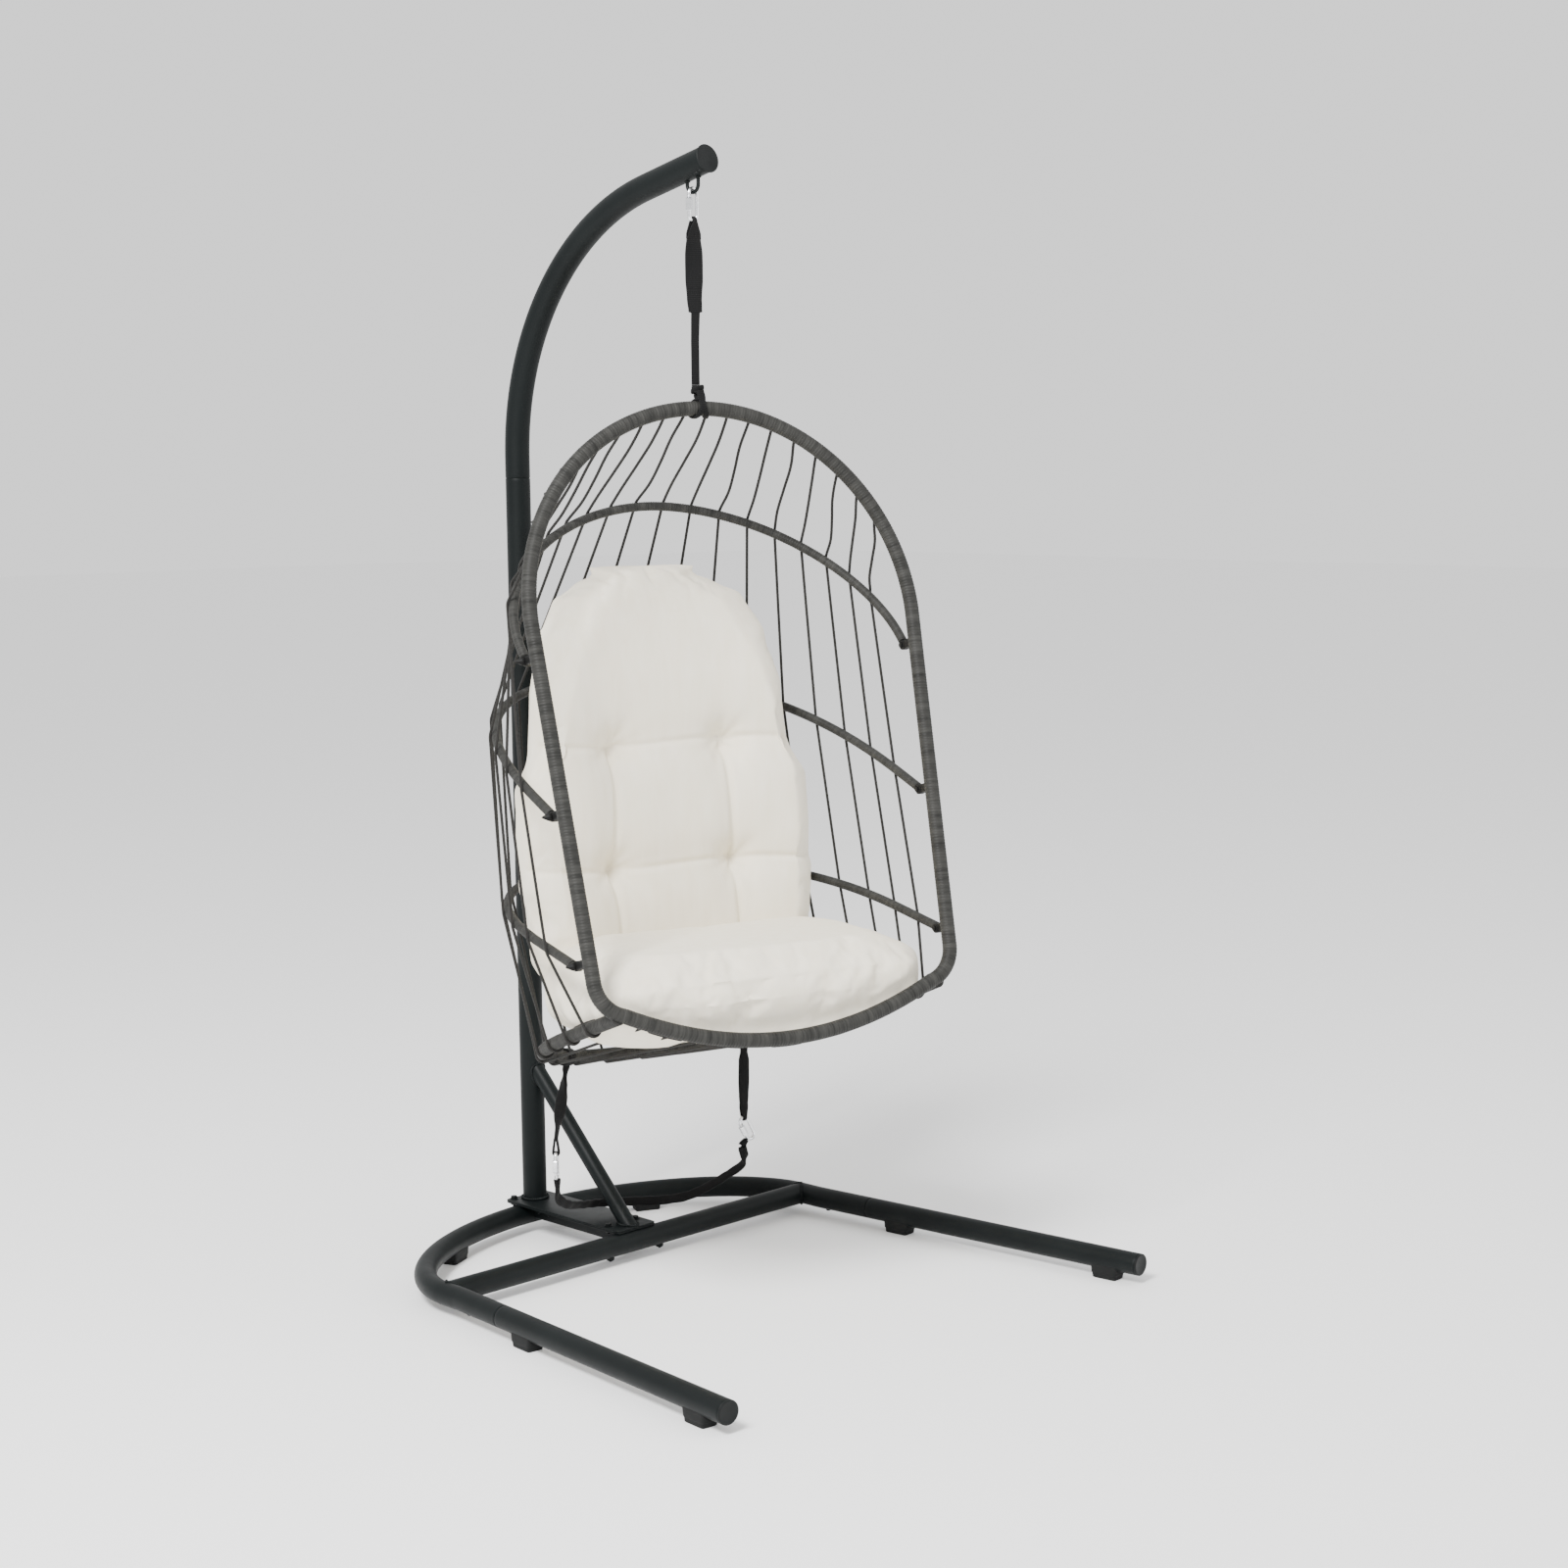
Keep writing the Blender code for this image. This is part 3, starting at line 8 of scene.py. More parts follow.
import bpy
import numpy as np
from mathutils import Matrix, Vector


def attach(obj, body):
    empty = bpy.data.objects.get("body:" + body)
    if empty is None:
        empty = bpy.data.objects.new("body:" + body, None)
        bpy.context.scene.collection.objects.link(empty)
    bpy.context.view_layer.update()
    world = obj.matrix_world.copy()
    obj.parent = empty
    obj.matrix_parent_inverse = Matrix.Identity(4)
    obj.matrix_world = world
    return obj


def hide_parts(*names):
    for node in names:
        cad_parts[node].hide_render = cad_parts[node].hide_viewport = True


# ---- stand, as in the CAD part ---------------------------
CROSSBAR_Y = 0.2335
BASE_R = 0.020
BASE_Z = 0.0355
ARC_HALF_WIDTH = 0.434
ARC_DEPTH = 0.287
ARC_POWER = 1.87
LEG_SEAM = (0.447, -0.175)
LEG_TIP = (0.5044, -0.780)
BEAM_WIDTH = 0.036
BEAM_HEIGHT = 0.027
BEAM_INSET = 0.012
PLATE_HALF_WIDTH = 0.047
PLATE_FRONT = -0.006
PLATE_REAR = 0.318
PLATE_T = 0.003
GAP = 0.0003
TUBE_FILLET = 0.0012
TUBE_STEP = 0.006
SPIGOT_HALF = 0.020           # the hidden plug that joins two tubes at a seam
SPIGOT_INSET = 0.0012
POST_R = 0.0225
POST_SEAM_Z = 1.425
BRACE_R = 0.0147
BRACE_LINE = -0.043
BRACE_SINK = 0.010            # how far its foot goes on through the plate, out of sight
BRACE_SHORT = 0.006           # how far its head stops short of the post's centreline
WELD_STAND_OFF = 0.0008       # a weld bead's centre outside the tube's skin
ARM_BEND_Z = 1.462
ARM_BEND_R = 0.470
ARM_BEND_END = math.radians(76.8)
ARM_STRAIGHT = 0.161
ARM_CAP_FLANGE = 0.0018
FOOT_LENGTH = 0.056
FOOT_WIDTH = 0.034
FOOT_TOP = 0.026
FOOT_MIDDLE = 0.070
FOOT_FRONT = 0.067
FOOT_REAR_X = 0.235
BOLT_X = 0.033
BOLT_Y = (0.036, 0.3095)
SCREW_BACK = 0.105

# ---- suspension ------------------------------------------
HANG_Y = CROSSBAR_Y - 0.197
EYE_ROD_R = 0.0032
EYE_HALF_WIDTH = 0.0135
EYE_BOTTOM_Z = 1.9035
EYE_HEIGHT = 0.036
LINK_ROD_R = 0.0032
LINK_HALF_WIDTH = 0.0088
LINK_MOUTH = 0.004            # half the gap in the rod that the sleeve nut closes
THREAD_PITCH = 0.0008
THREAD_DEPTH = 0.0005
THREAD_TURNS = 7
TOP_LINK_LENGTH = 0.0535
LINK_TOP_Z = EYE_BOTTOM_Z + EYE_ROD_R + LINK_ROD_R + GAP
LINK_LOW_Z = LINK_TOP_Z - TOP_LINK_LENGTH
SLEEVE_R = 0.0060
SLEEVE_LENGTH = 0.0215
WEB_T = 0.0030
STRAP_TURN = math.radians(-40.0)
HITCH_TOP_Z = 1.583

# ---- basket ----------------------------------------------
BASKET_TURN = math.radians(-16.5)
RIM_R = 0.0125
RIM_WRAP = 0.0050             # width of the strip wound round rim and seat frame
HOOP_WRAP = 0.0046
STRIP_RISE = 0.00085
STRIP_TILT = 0.0006
RIM_LEAN = math.radians(16.1)
RIM_TOP = (-0.0144, 1.543)
RIM_ARCH_R = 0.360
RIM_FOOT_HALF = 0.336
RIM_SIDE_END = 0.955
RIM_CORNER_R = 0.062
RIM_BOTTOM = 1.0825
HOOP_R = 0.0078
HOOPS = {
    "hoop_1": dict(half=0.360, bolt_z=1.131, tilt=math.radians(41.5), mid=-0.070,
                   depth=0.255, power=1.88, rope_step=0.0515),
    "hoop_2": dict(half=0.349, bolt_z=0.882, tilt=math.radians(17.0), mid=-0.100,
                   depth=0.500, power=2.35, rope_step=0.0780),
    "hoop_3": dict(half=0.346, bolt_z=0.645, tilt=math.radians(6.5), mid=-0.100,
                   depth=0.450, power=2.35, rope_step=0.0810),
}
HOOP_BOLT_BACK = 0.042
TONGUE_WIDTH = 0.010
TONGUE_HEIGHT = 0.015
SEAT_R = 0.0118
SEAT_TILT = math.radians(-20.0)
SEAT_FRONT = (-0.297, 0.566)
SEAT_HALF = 0.318
SEAT_FRONT_HALF = 0.301
SEAT_MID = -0.120
SEAT_DEPTH = 0.305
SEAT_POWER = 2.5
SEAT_ROPE_STEP = 0.0735
FRONT_ROPE_STEP = 0.0545
ROPE_R = 0.0025
ROPE_LAY = 0.021              # length in which its three strands go once round
ROPE_SWAY = 0.004
ROPE_SAG = 0.006

# ---- cushions --------------------------------------------
BACK_FOOT = (0.135, 0.462)
BACK_HEAD = (0.216, 1.276)
BACK_BOW = 0.75
BACK_EASE = 0.014             # extra half width that the swelling cloth draws in again
# rows of (share of the height, half width, front face, back face)
BACK_OUTLINE = ((0.00, 0.205, -0.040, 0.020), (0.04, 0.240, -0.056, 0.045),
                (0.14, 0.272, -0.062, 0.060), (0.30, 0.290, -0.062, 0.062),
                (0.52, 0.290, -0.062, 0.062), (0.59, 0.262, -0.062, 0.062),
                (0.74, 0.246, -0.062, 0.060), (0.86, 0.218, -0.050, 0.054),
                (0.94, 0.182, -0.030, 0.048), (0.985, 0.130, -0.006, 0.042),
                (1.00, 0.100, 0.006, 0.036))
TUFTS = ((0.108, 0.962), (0.116, 0.745))      # w and z of the buttonless tufts, each side
PAD_FRONT = -0.305
PAD_BACK = 0.070
PAD_HALF = 0.314
PAD_FRONT_HALF = 0.262
PAD_TOP = 0.631
PAD_UNDER_FRONT = 0.540
PAD_UNDER_BACK = 0.492
CLOTH_FRAMES = 20

# ---- tether ----------------------------------------------
LOWER_STRAP_WIDTH = 0.022
LOWER_LINK_LENGTH = 0.0475
LOWER_TIES = {
    "left": dict(hitch_w=-0.206, link_w=-0.2300, link_z=0.236, tilt=0.0,
                 turn=math.radians(58.0), leave=math.radians(20.0), clear=0.0008),
    "right": dict(hitch_w=0.160, link_w=0.158, link_z=0.246, tilt=math.radians(-28.0),
                  turn=math.radians(8.0), leave=math.radians(-45.0), clear=0.0016),
}
SAFETY_WIDTH = 0.018
SAFETY_ROUTE = ((-0.2190, 0.160, 0.146), (-0.1880, 0.190, 0.122), (-0.1450, 0.235, 0.104),
                (-0.0700, 0.285, 0.086), (-0.0090, 0.285, 0.079), (0.0350, 0.270, 0.078),
                (0.0790, 0.250, 0.084), (0.1080, 0.230, 0.100), (0.1420, 0.190, 0.134),
                (0.1600, 0.166, 0.160))

# ---- view ------------------------------------------------
CAMERA_SPOT = (-3.12786, -3.34322, 1.44557)
CAMERA_AIM = (0.72120, 0.67744, -0.14472)
CAMERA_ROLL = math.radians(-0.24)
LENS_MM = 60.84
LENS_SHIFT = (-0.0651, 0.0440)
FLOOR_REACH = 30.0
SKY_STRENGTH = 1.25
LIGHT_TARGET = (0, 0, 0.9)
LIGHTS = {
    "key": dict(place=(-3.6, -1.2, 4.4), size=1.6, power=520),
    "fill": dict(place=(2.6, -4.2, 2.6), size=2.6, power=60),
}

TO_WORLD = Matrix.Translation((0, HANG_Y, 0)) @ Matrix.Rotation(BASKET_TURN, 4, "Z")
STILL = Matrix.Identity(4)


# ==========================================================
# mesh helpers
# ==========================================================
def unit(v):
    return v / np.maximum(np.linalg.norm(v, axis=-1, keepdims=True), 1e-12)


def distances(path):
    steps = np.linalg.norm(np.diff(path, axis=0), axis=1)
    return np.concatenate([[0.0], np.cumsum(steps)])


def resample(path, step, closed=False):
    """Evenly placed points along a path, at most step apart."""
    path = np.array([tuple(p) for p in path], float)
    if closed:
        path = np.vstack([path, path[:1]])
    s = distances(path)
    count = max(2, int(math.ceil(s[-1] / step)) + 1)
    even = np.linspace(0, s[-1], count)
    fine = np.stack([np.interp(even, s, path[:, k]) for k in range(3)], axis=1)
    return fine[:-1] if closed else fine


def smooth(points, step):
    """A smooth curve through the points; long straight runs stay straight beside tight turns."""
    p = np.array([tuple(q) for q in points], float)
    heading = np.empty_like(p)
    heading[1:-1] = p[2:] - p[:-2]
    heading[0], heading[-1] = p[1] - p[0], p[-1] - p[-2]
    heading = unit(heading)
    fine = []
    for i in range(len(p) - 1):
        span = np.linalg.norm(p[i + 1] - p[i])
        steps = max(2, int(span / step))
        for t in np.arange(steps) / steps:
            h = (2 * t**3 - 3 * t**2 + 1, t**3 - 2 * t**2 + t, -2 * t**3 + 3 * t**2, t**3 - t**2)
            fine.append(h[0] * p[i] + h[1] * span * heading[i]
                        + h[2] * p[i + 1] + h[3] * span * heading[i + 1])
    fine.append(p[-1])
    return resample(fine, step)


def path_frames(path, closed, side):
    """Tangent, across and normal at each point; side keeps a section upright."""
    if closed:
        tangents = unit(np.roll(path, -1, axis=0) - np.roll(path, 1, axis=0))
    else:
        tangents = unit(np.gradient(path, axis=0))
    if side is not None:
        fixed = np.broadcast_to(np.asarray(side, float), path.shape)
        normal = unit(np.cross(tangents, fixed))
        return np.cross(normal, tangents), normal
    across = np.empty_like(path)
    last = np.array(Vector(tangents[0]).orthogonal().normalized())
    for i, tangent in enumerate(tangents):
        last = last - tangent * (last @ tangent)
        last = last / np.linalg.norm(last)
        across[i] = last
    return across, np.cross(tangents, across)


def round_turn(count):
    """Evenly placed angles once round, the first not repeated."""
    return np.linspace(0, 2 * math.pi, count, endpoint=False)


def ring(radius, sides):
    t = np.arange(sides) * (2 * math.pi / sides)
    return np.stack([radius * np.cos(t), radius * np.sin(t)], axis=1)


def rounded(width, height, power=5.0, sides=28):
    """A rectangle's outline with rounded corners."""
    t = np.arange(sides) * (2 * math.pi / sides)
    c, s = np.cos(t), np.sin(t)
    return np.stack([np.sign(c) * np.abs(c) ** (2 / power) * width / 2,
                     np.sign(s) * np.abs(s) ** (2 / power) * height / 2], axis=1)


class Shape:
    """Gathers the surfaces of one piece: points, faces and UVs in metres."""

    def __init__(self):
        self.points = []
        self.faces = []
        self.uvs = []
        self.count = 0

    def grid(self, rows, closed=False, along=None):
        """Joins rings of points (rows x corners x 3) with quads."""
        n, m = rows.shape[:2]
        index = np.arange(n * m).reshape(n, m) + self.count
        below = index if closed else index[:-1]
        above = np.roll(index, -1, axis=0) if closed else index[1:]
        quads = np.stack([below, np.roll(below, -1, axis=1), np.roll(above, -1, axis=1), above],
                         axis=-1).reshape(-1, 4)
        edge = np.linalg.norm(np.roll(rows[0], -1, axis=0) - rows[0], axis=1)
        u = np.concatenate([[0.0], np.cumsum(edge)])
        if along is None:
            along = distances(rows.mean(axis=1))
        v = np.append(along, 2 * along[-1] - along[-2]) if closed else along
        k = len(below)
        u0, u1 = np.meshgrid(u[:-1], v[:k])[0], np.meshgrid(u[1:], v[:k])[0]
        v0, v1 = np.repeat(v[:k, None], m, 1), np.repeat(v[1:k + 1, None], m, 1)
        uv = np.stack([np.stack([u0, v0], -1), np.stack([u1, v0], -1),
                       np.stack([u1, v1], -1), np.stack([u0, v1], -1)], axis=2)
        self.points.append(rows.reshape(-1, 3))
        self.faces += quads.tolist()
        self.uvs.append(uv.reshape(-1, 2))
        if not closed:
            self.faces += [index[0][::-1].tolist(), index[-1].tolist()]
            self.uvs.append(np.zeros((2 * m, 2)))
        self.count += n * m
        return self

    def sweep(self, path, outline, closed=False, side=None, scale=None, relief=None):
        """An outline carried along a path; relief(s, turn) changes its size from place to place."""
        path = np.array([tuple(p) for p in path], float)
        across, normal = path_frames(path, closed, side)
        s = distances(path)
        x = np.repeat(outline[None, :, 0], len(path), 0)
        y = np.repeat(outline[None, :, 1], len(path), 0)
        if scale is not None:
            scale = np.asarray(scale, float).reshape(len(path), -1)
            x = x * scale[:, :1]
            y = y * scale[:, -1:]
        if relief is not None:
            turn = np.arange(len(outline)) / len(outline)
            grow = relief(s[:, None], turn[None, :])
            x, y = x * grow, y * grow
        rows = path[:, None] + across[:, None] * x[..., None] + normal[:, None] * y[..., None]
        return self.grid(rows, closed, s)

    def lathe(self, profile, start=(0, 0, 0), axis=(0, 0, 1), sides=40, spin=0.0, lobes=0, dip=0.0):
        """Revolves (radius, height) points about an axis; lobes make a fluted knob."""
        t = np.arange(sides) * (2 * math.pi / sides) + spin
        r = np.array([p[0] for p in profile])[:, None] * (1 - dip * (0.5 + 0.5 * np.cos(lobes * t)))
        h = np.array([p[1] for p in profile])[:, None] + 0 * t
        rows = np.stack([r * np.cos(t), r * np.sin(t), h], axis=-1)
        spin_to = np.array(Vector((0, 0, 1)).rotation_difference(Vector(axis)).to_matrix())
        return self.grid(rows @ spin_to.T + np.array(tuple(start)))

    def stack(self, rows, power=5.0, steps=10, sides=28):
        """Level rounded rectangles joined smoothly; a row is centre, width, thickness, turn."""
        rings = []
        for (c0, w0, h0, t0), (c1, w1, h1, t1) in zip(rows, rows[1:]):
            for i in range(steps):
                k = i / steps
                e = k * k * (3 - 2 * k)
                rings.append((np.array(tuple(c0)) * (1 - k) + np.array(tuple(c1)) * k,
                              w0 + (w1 - w0) * e, h0 + (h1 - h0) * e, t0 + (t1 - t0) * e))
        c, w, h, t = rows[-1]
        rings.append((np.array(tuple(c)), w, h, t))
        made = []
        for centre, width, thickness, turn in rings:
            flat = rounded(width, thickness, power, sides)
            spin = np.array([[math.cos(turn), math.sin(turn)], [-math.sin(turn), math.cos(turn)]])
            made.append(np.column_stack([flat @ spin, np.zeros(len(flat))]) + centre)
        return self.grid(np.array(made))

    def build(self, node, ending, material, body, slot, place=STILL, sharp=35):
        """Makes the piece that stands for a CAD node and is called NODE_ending."""
        name = f"{node}_{ending}"
        mesh = bpy.data.meshes.new(name)
        points = np.vstack(self.points)
        mesh.from_pydata(points.tolist(), [], self.faces)
        layer = mesh.uv_layers.new(name="UVMap")
        layer.data.foreach_set("uv", np.vstack(self.uvs).astype(np.float32).ravel())
        mesh.transform(place)
        mesh.materials.append(material)
        mesh.shade_smooth()
        mesh.set_sharp_from_angle(angle=math.radians(sharp))
        item = bpy.data.objects.new(name, mesh)
        bpy.context.scene.collection.objects.link(item)
        return settle(item, body, [node])


def settle(item, body, replaces):
    """Lets a piece ride on its body and stand for its CAD nodes."""
    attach(item, body)
    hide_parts(*replaces)
    return item


def tube(shape, path, radius, sides=40, side=None):
    """A closed round tube whose end edges are rounded."""
    fillet = TUBE_FILLET
    path = resample(path, TUBE_STEP)
    first, last = unit(path[1] - path[0]), unit(path[-1] - path[-2])
    lead = [path[0], path[0] + first * fillet * 0.3, path[0] + first * fillet]
    tail = [path[-1] - last * fillet, path[-1] - last * fillet * 0.3, path[-1]]
    whole = np.vstack([lead, path[1:-1], tail])
    tight = (radius - fillet) / radius
    half = (radius - fillet * 0.3) / radius
    scale = np.array([tight, half, 1.0] + [1.0] * (len(path) - 2) + [1.0, half, tight])
    return shape.sweep(whole, ring(radius, sides), side=side, scale=scale)


def bead(shape, path, radius=0.0024, closed=True):
    """A weld bead: a rippled thread of metal along a joint."""
    path = resample(path, 0.0008, closed)

    def ripple(s, turn):
        return 1 + 0.16 * np.sin(s * 2 * math.pi / 0.0032) + 0.10 * np.sin(s * 2 * math.pi / 0.0127)
    return shape.sweep(path, ring(radius, 10), closed=closed, relief=ripple)


# ==========================================================
# materials
# ==========================================================
class Finish:
    """Builds a Principled material with its node-made detail."""

    def __init__(self, name, colour, roughness, metallic=0.0, specular=0.5):
        self.material = bpy.data.materials.new(name)
        self.material.use_nodes = True
        self.tree = self.material.node_tree
        self.shader = self.tree.nodes["Principled BSDF"]
        self.shader.inputs["Base Color"].default_value = (*colour, 1.0)
        self.shader.inputs["Roughness"].default_value = roughness
        self.shader.inputs["Metallic"].default_value = metallic
        self.shader.inputs["Specular IOR Level"].default_value = specular
        self.places = self.tree.nodes.new("ShaderNodeTexCoord")
        self.bump_from = None

    def node(self, kind, **values):
        made = self.tree.nodes.new(kind)
        for key, value in values.items():
            if key in made.inputs:
                made.inputs[key].default_value = value
            else:
                setattr(made, key, value)
        return made

    def link(self, source, target):
        self.tree.links.new(source, target)

    def where(self, output, scale):
        """Texture coordinates stretched by a scale in each direction."""
        mapping = self.node("ShaderNodeMapping")
        mapping.inputs["Scale"].default_value = scale
        self.link(self.places.outputs[output], mapping.inputs["Vector"])
        return mapping.outputs["Vector"]

    def noise(self, output, scale, size, detail=4.0, roughness=0.55):
        made = self.node("ShaderNodeTexNoise", Scale=size, Detail=detail, Roughness=roughness)
        self.link(self.where(output, scale), made.inputs["Vector"])
        return made.outputs["Fac"]

    def grain(self, size, detail=4.0):
        """The same noise in every direction through the solid."""
        return self.noise("Object", (1, 1, 1), size, detail)

    def sheen(self, weight, roughness):
        self.shader.inputs["Sheen Weight"].default_value = weight
        self.shader.inputs["Sheen Roughness"].default_value = roughness

    def bands(self, output, scale, distortion=0.0, direction="X"):
        made = self.node("ShaderNodeTexWave", Scale=1.0, Distortion=distortion, Detail=1.0)
        made.wave_type = "BANDS"
        made.bands_direction = direction
        self.link(self.where(output, scale), made.inputs["Vector"])
        return made.outputs["Fac"]

    def combine(self, first, second, operation="MULTIPLY"):
        made = self.node("ShaderNodeMath", operation=operation)
        self.link(first, made.inputs[0])
        self.link(second, made.inputs[1])
        return made.outputs["Value"]

    def bump(self, height, strength, distance):
        made = self.node("ShaderNodeBump", Strength=strength, Distance=distance)
        self.link(height, made.inputs["Height"])
        if self.bump_from is not None:
            self.link(self.bump_from, made.inputs["Normal"])
        self.bump_from = made.outputs["Normal"]
        self.link(self.bump_from, self.shader.inputs["Normal"])
        return self

    def vary_colour(self, factor, low, high):
        """The base colour runs between two tones as factor goes from 0 to 1."""
        made = self.node("ShaderNodeValToRGB")
        made.color_ramp.elements[0].color = (*low, 1.0)
        made.color_ramp.elements[0].position = 0.3
        made.color_ramp.elements[1].color = (*high, 1.0)
        made.color_ramp.elements[1].position = 0.7
        self.link(factor, made.inputs["Fac"])
        self.link(made.outputs["Color"], self.shader.inputs["Base Color"])
        return self

    def vary_roughness(self, factor, low, high):
        made = self.node("ShaderNodeMapRange")
        made.inputs["To Min"].default_value = low
        made.inputs["To Max"].default_value = high
        self.link(factor, made.inputs["Value"])
        self.link(made.outputs["Result"], self.shader.inputs["Roughness"])
        return self


def paint_finish():
    """Satin powder coat: near black with a cool cast and a fine orange peel."""
    f = Finish("stand_paint", (0.0040, 0.0055, 0.0056), 0.46, specular=0.13)
    f.vary_colour(f.grain(9.0), (0.0032, 0.0046, 0.0047), (0.0050, 0.0068, 0.0069))
    f.vary_roughness(f.grain(38.0), 0.42, 0.54)
    f.bump(f.grain(620.0, 2.0), 0.22, 0.0004)
    return f.material


def plastic_finish(name, colour, roughness, grain):
    f = Finish(name, colour, roughness, specular=0.14)
    low = tuple(c * 0.85 for c in colour)
    high = tuple(c * 1.25 for c in colour)
    f.vary_colour(f.grain(40.0), low, high)
    f.vary_roughness(f.grain(90.0), roughness - 0.06, roughness + 0.08)
    f.bump(f.grain(grain, 3.0), 0.30, 0.0004)
    return f.material


def zinc_finish():
    """Bright zinc plate with faint drawing marks."""
    f = Finish("zinc", (0.80, 0.81, 0.82), 0.24, metallic=1.0)
    f.vary_colour(f.grain(160.0), (0.70, 0.71, 0.73), (0.88, 0.89, 0.90))
    f.vary_roughness(f.grain(240.0), 0.16, 0.36)
    f.bump(f.noise("UV", (2600, 120, 1), 1.0, detail=2.0), 0.12, 0.0002)
    return f.material


def webbing_finish():
    """Black polypropylene webbing: ribs across a fine weave."""
    f = Finish("webbing", (0.0035, 0.0035, 0.0036), 0.80, specular=0.15)
    ribs = f.bands("UV", (0, 90, 1), direction="Y")
    yarns = f.bands("UV", (140, 0, 1), direction="X")
    f.vary_colour(f.combine(ribs, yarns), (0.0025, 0.0025, 0.0027), (0.0060, 0.0060, 0.0062))
    f.bump(f.combine(ribs, yarns), 0.55, 0.0006)
    f.bump(f.grain(420.0), 0.25, 0.0005)
    f.sheen(0.04, 0.5)
    return f.material


def wicker_finish():
    """Grey resin wicker: fine grooves along each strip and patchy tone from strip to strip."""
    f = Finish("wicker", (0.040, 0.040, 0.037), 0.58, specular=0.16)
    grooves = f.bands("UV", (0, 260, 1), distortion=0.6, direction="Y")
    tone = f.noise("UV", (8, 105, 1), 1.0, detail=3.0, roughness=0.7)
    f.vary_colour(tone, (0.012, 0.012, 0.011), (0.040, 0.0395, 0.0365))
    f.vary_roughness(tone, 0.42, 0.62)
    f.bump(grooves, 0.28, 0.0004)
    f.bump(f.grain(700.0), 0.15, 0.0003)
    return f.material


def rope_finish():
    """Dark twisted cord: slanting fibres with a dull surface."""
    f = Finish("rope", (0.018, 0.017, 0.0155), 0.80, specular=0.2)
    fibres = f.noise("UV", (900, 160, 1), 1.0, detail=3.0)
    f.vary_colour(fibres, (0.007, 0.0066, 0.006), (0.020, 0.019, 0.0172))
    f.bump(fibres, 0.5, 0.0005)
    f.sheen(0.05, 0.6)
    return f.material


def fabric_finish():
    """Ivory polyester: a plain weave with slubs and soft creases."""
    f = Finish("cushion_fabric", (0.84, 0.79, 0.67), 0.92, specular=0.2)
    across = f.bands("Object", (420, 420, 0), direction="X")
    down = f.bands("Object", (0, 0, 420), direction="Z")
    slubs = f.noise("Object", (60, 60, 9), 1.0, detail=3.0)
    f.vary_colour(slubs, (0.830, 0.765, 0.620), (0.870, 0.812, 0.680))
    f.bump(f.grain(7.0, 2.0), 0.20, 0.010)
    f.bump(f.grain(30.0, 2.0), 0.08, 0.004)
    f.bump(f.combine(across, down, "ADD"), 0.10, 0.0004)
    f.sheen(0.08, 0.5)
    return f.material


# ==========================================================
# camera, light and floor
# ==========================================================
def make_camera():
    """Stands where the reference was taken from; the lens shift keeps its framing."""
    data = bpy.data.cameras.new("camera")
    data.sensor_width = 36.0
    data.lens = LENS_MM
    data.shift_x, data.shift_y = LENS_SHIFT
    camera = bpy.data.objects.new("camera", data)
    camera.location = CAMERA_SPOT
    roll = Matrix.Rotation(CAMERA_ROLL, 4, "Z")
    turn = Vector(CAMERA_AIM).to_track_quat("-Z", "Y").to_matrix().to_4x4() @ roll
    camera.rotation_euler = turn.to_euler()
    bpy.context.scene.collection.objects.link(camera)
    bpy.context.scene.camera = camera


def area_light(name, place, size, power):
    """A square soft box turned to the chair's middle."""
    data = bpy.data.lights.new(name, "AREA")
    data.shape = "RECTANGLE"
    data.size = size
    data.size_y = size
    data.energy = power
    light = bpy.data.objects.new(name, data)
    light.location = place
    light.rotation_euler = (Vector(LIGHT_TARGET) - Vector(place)).to_track_quat("-Z", "Y").to_euler()
    bpy.context.scene.collection.objects.link(light)


def make_studio():
    """A pale floor, an even surround and two soft boxes."""
    world = bpy.data.worlds.new("studio")
    world.use_nodes = True
    background = world.node_tree.nodes["Background"]
    background.inputs["Color"].default_value = (1.0, 1.0, 1.0, 1.0)
    background.inputs["Strength"].default_value = SKY_STRENGTH
    bpy.context.scene.world = world
    for name, light in LIGHTS.items():
        area_light(name, light["place"], light["size"], light["power"])
    floor_material = bpy.data.materials.new("floor")
    floor_material.use_nodes = True
    shader = floor_material.node_tree.nodes["Principled BSDF"]
    shader.inputs["Base Color"].default_value = (0.96, 0.96, 0.96, 1.0)
    shader.inputs["Roughness"].default_value = 0.9
    mesh = bpy.data.meshes.new("floor")
    corners = [(x * FLOOR_REACH, y * FLOOR_REACH, 0) for x, y in ((-1, -1), (1, -1), (1, 1), (-1, 1))]
    mesh.from_pydata(corners, [], [(0, 1, 2, 3)])
    mesh.materials.append(floor_material)
    floor = bpy.data.objects.new("floor", mesh)
    bpy.context.scene.collection.objects.link(floor)


# ==========================================================
# stand
# ==========================================================
def base_point(x, y, z=BASE_Z):
    return Vector((x, CROSSBAR_Y + y, z))


def leg_direction(sign):
    line = (Vector((*LEG_TIP, 0)) - Vector((*LEG_SEAM, 0))).normalized()
    return Vector((sign * line.x, line.y, 0))


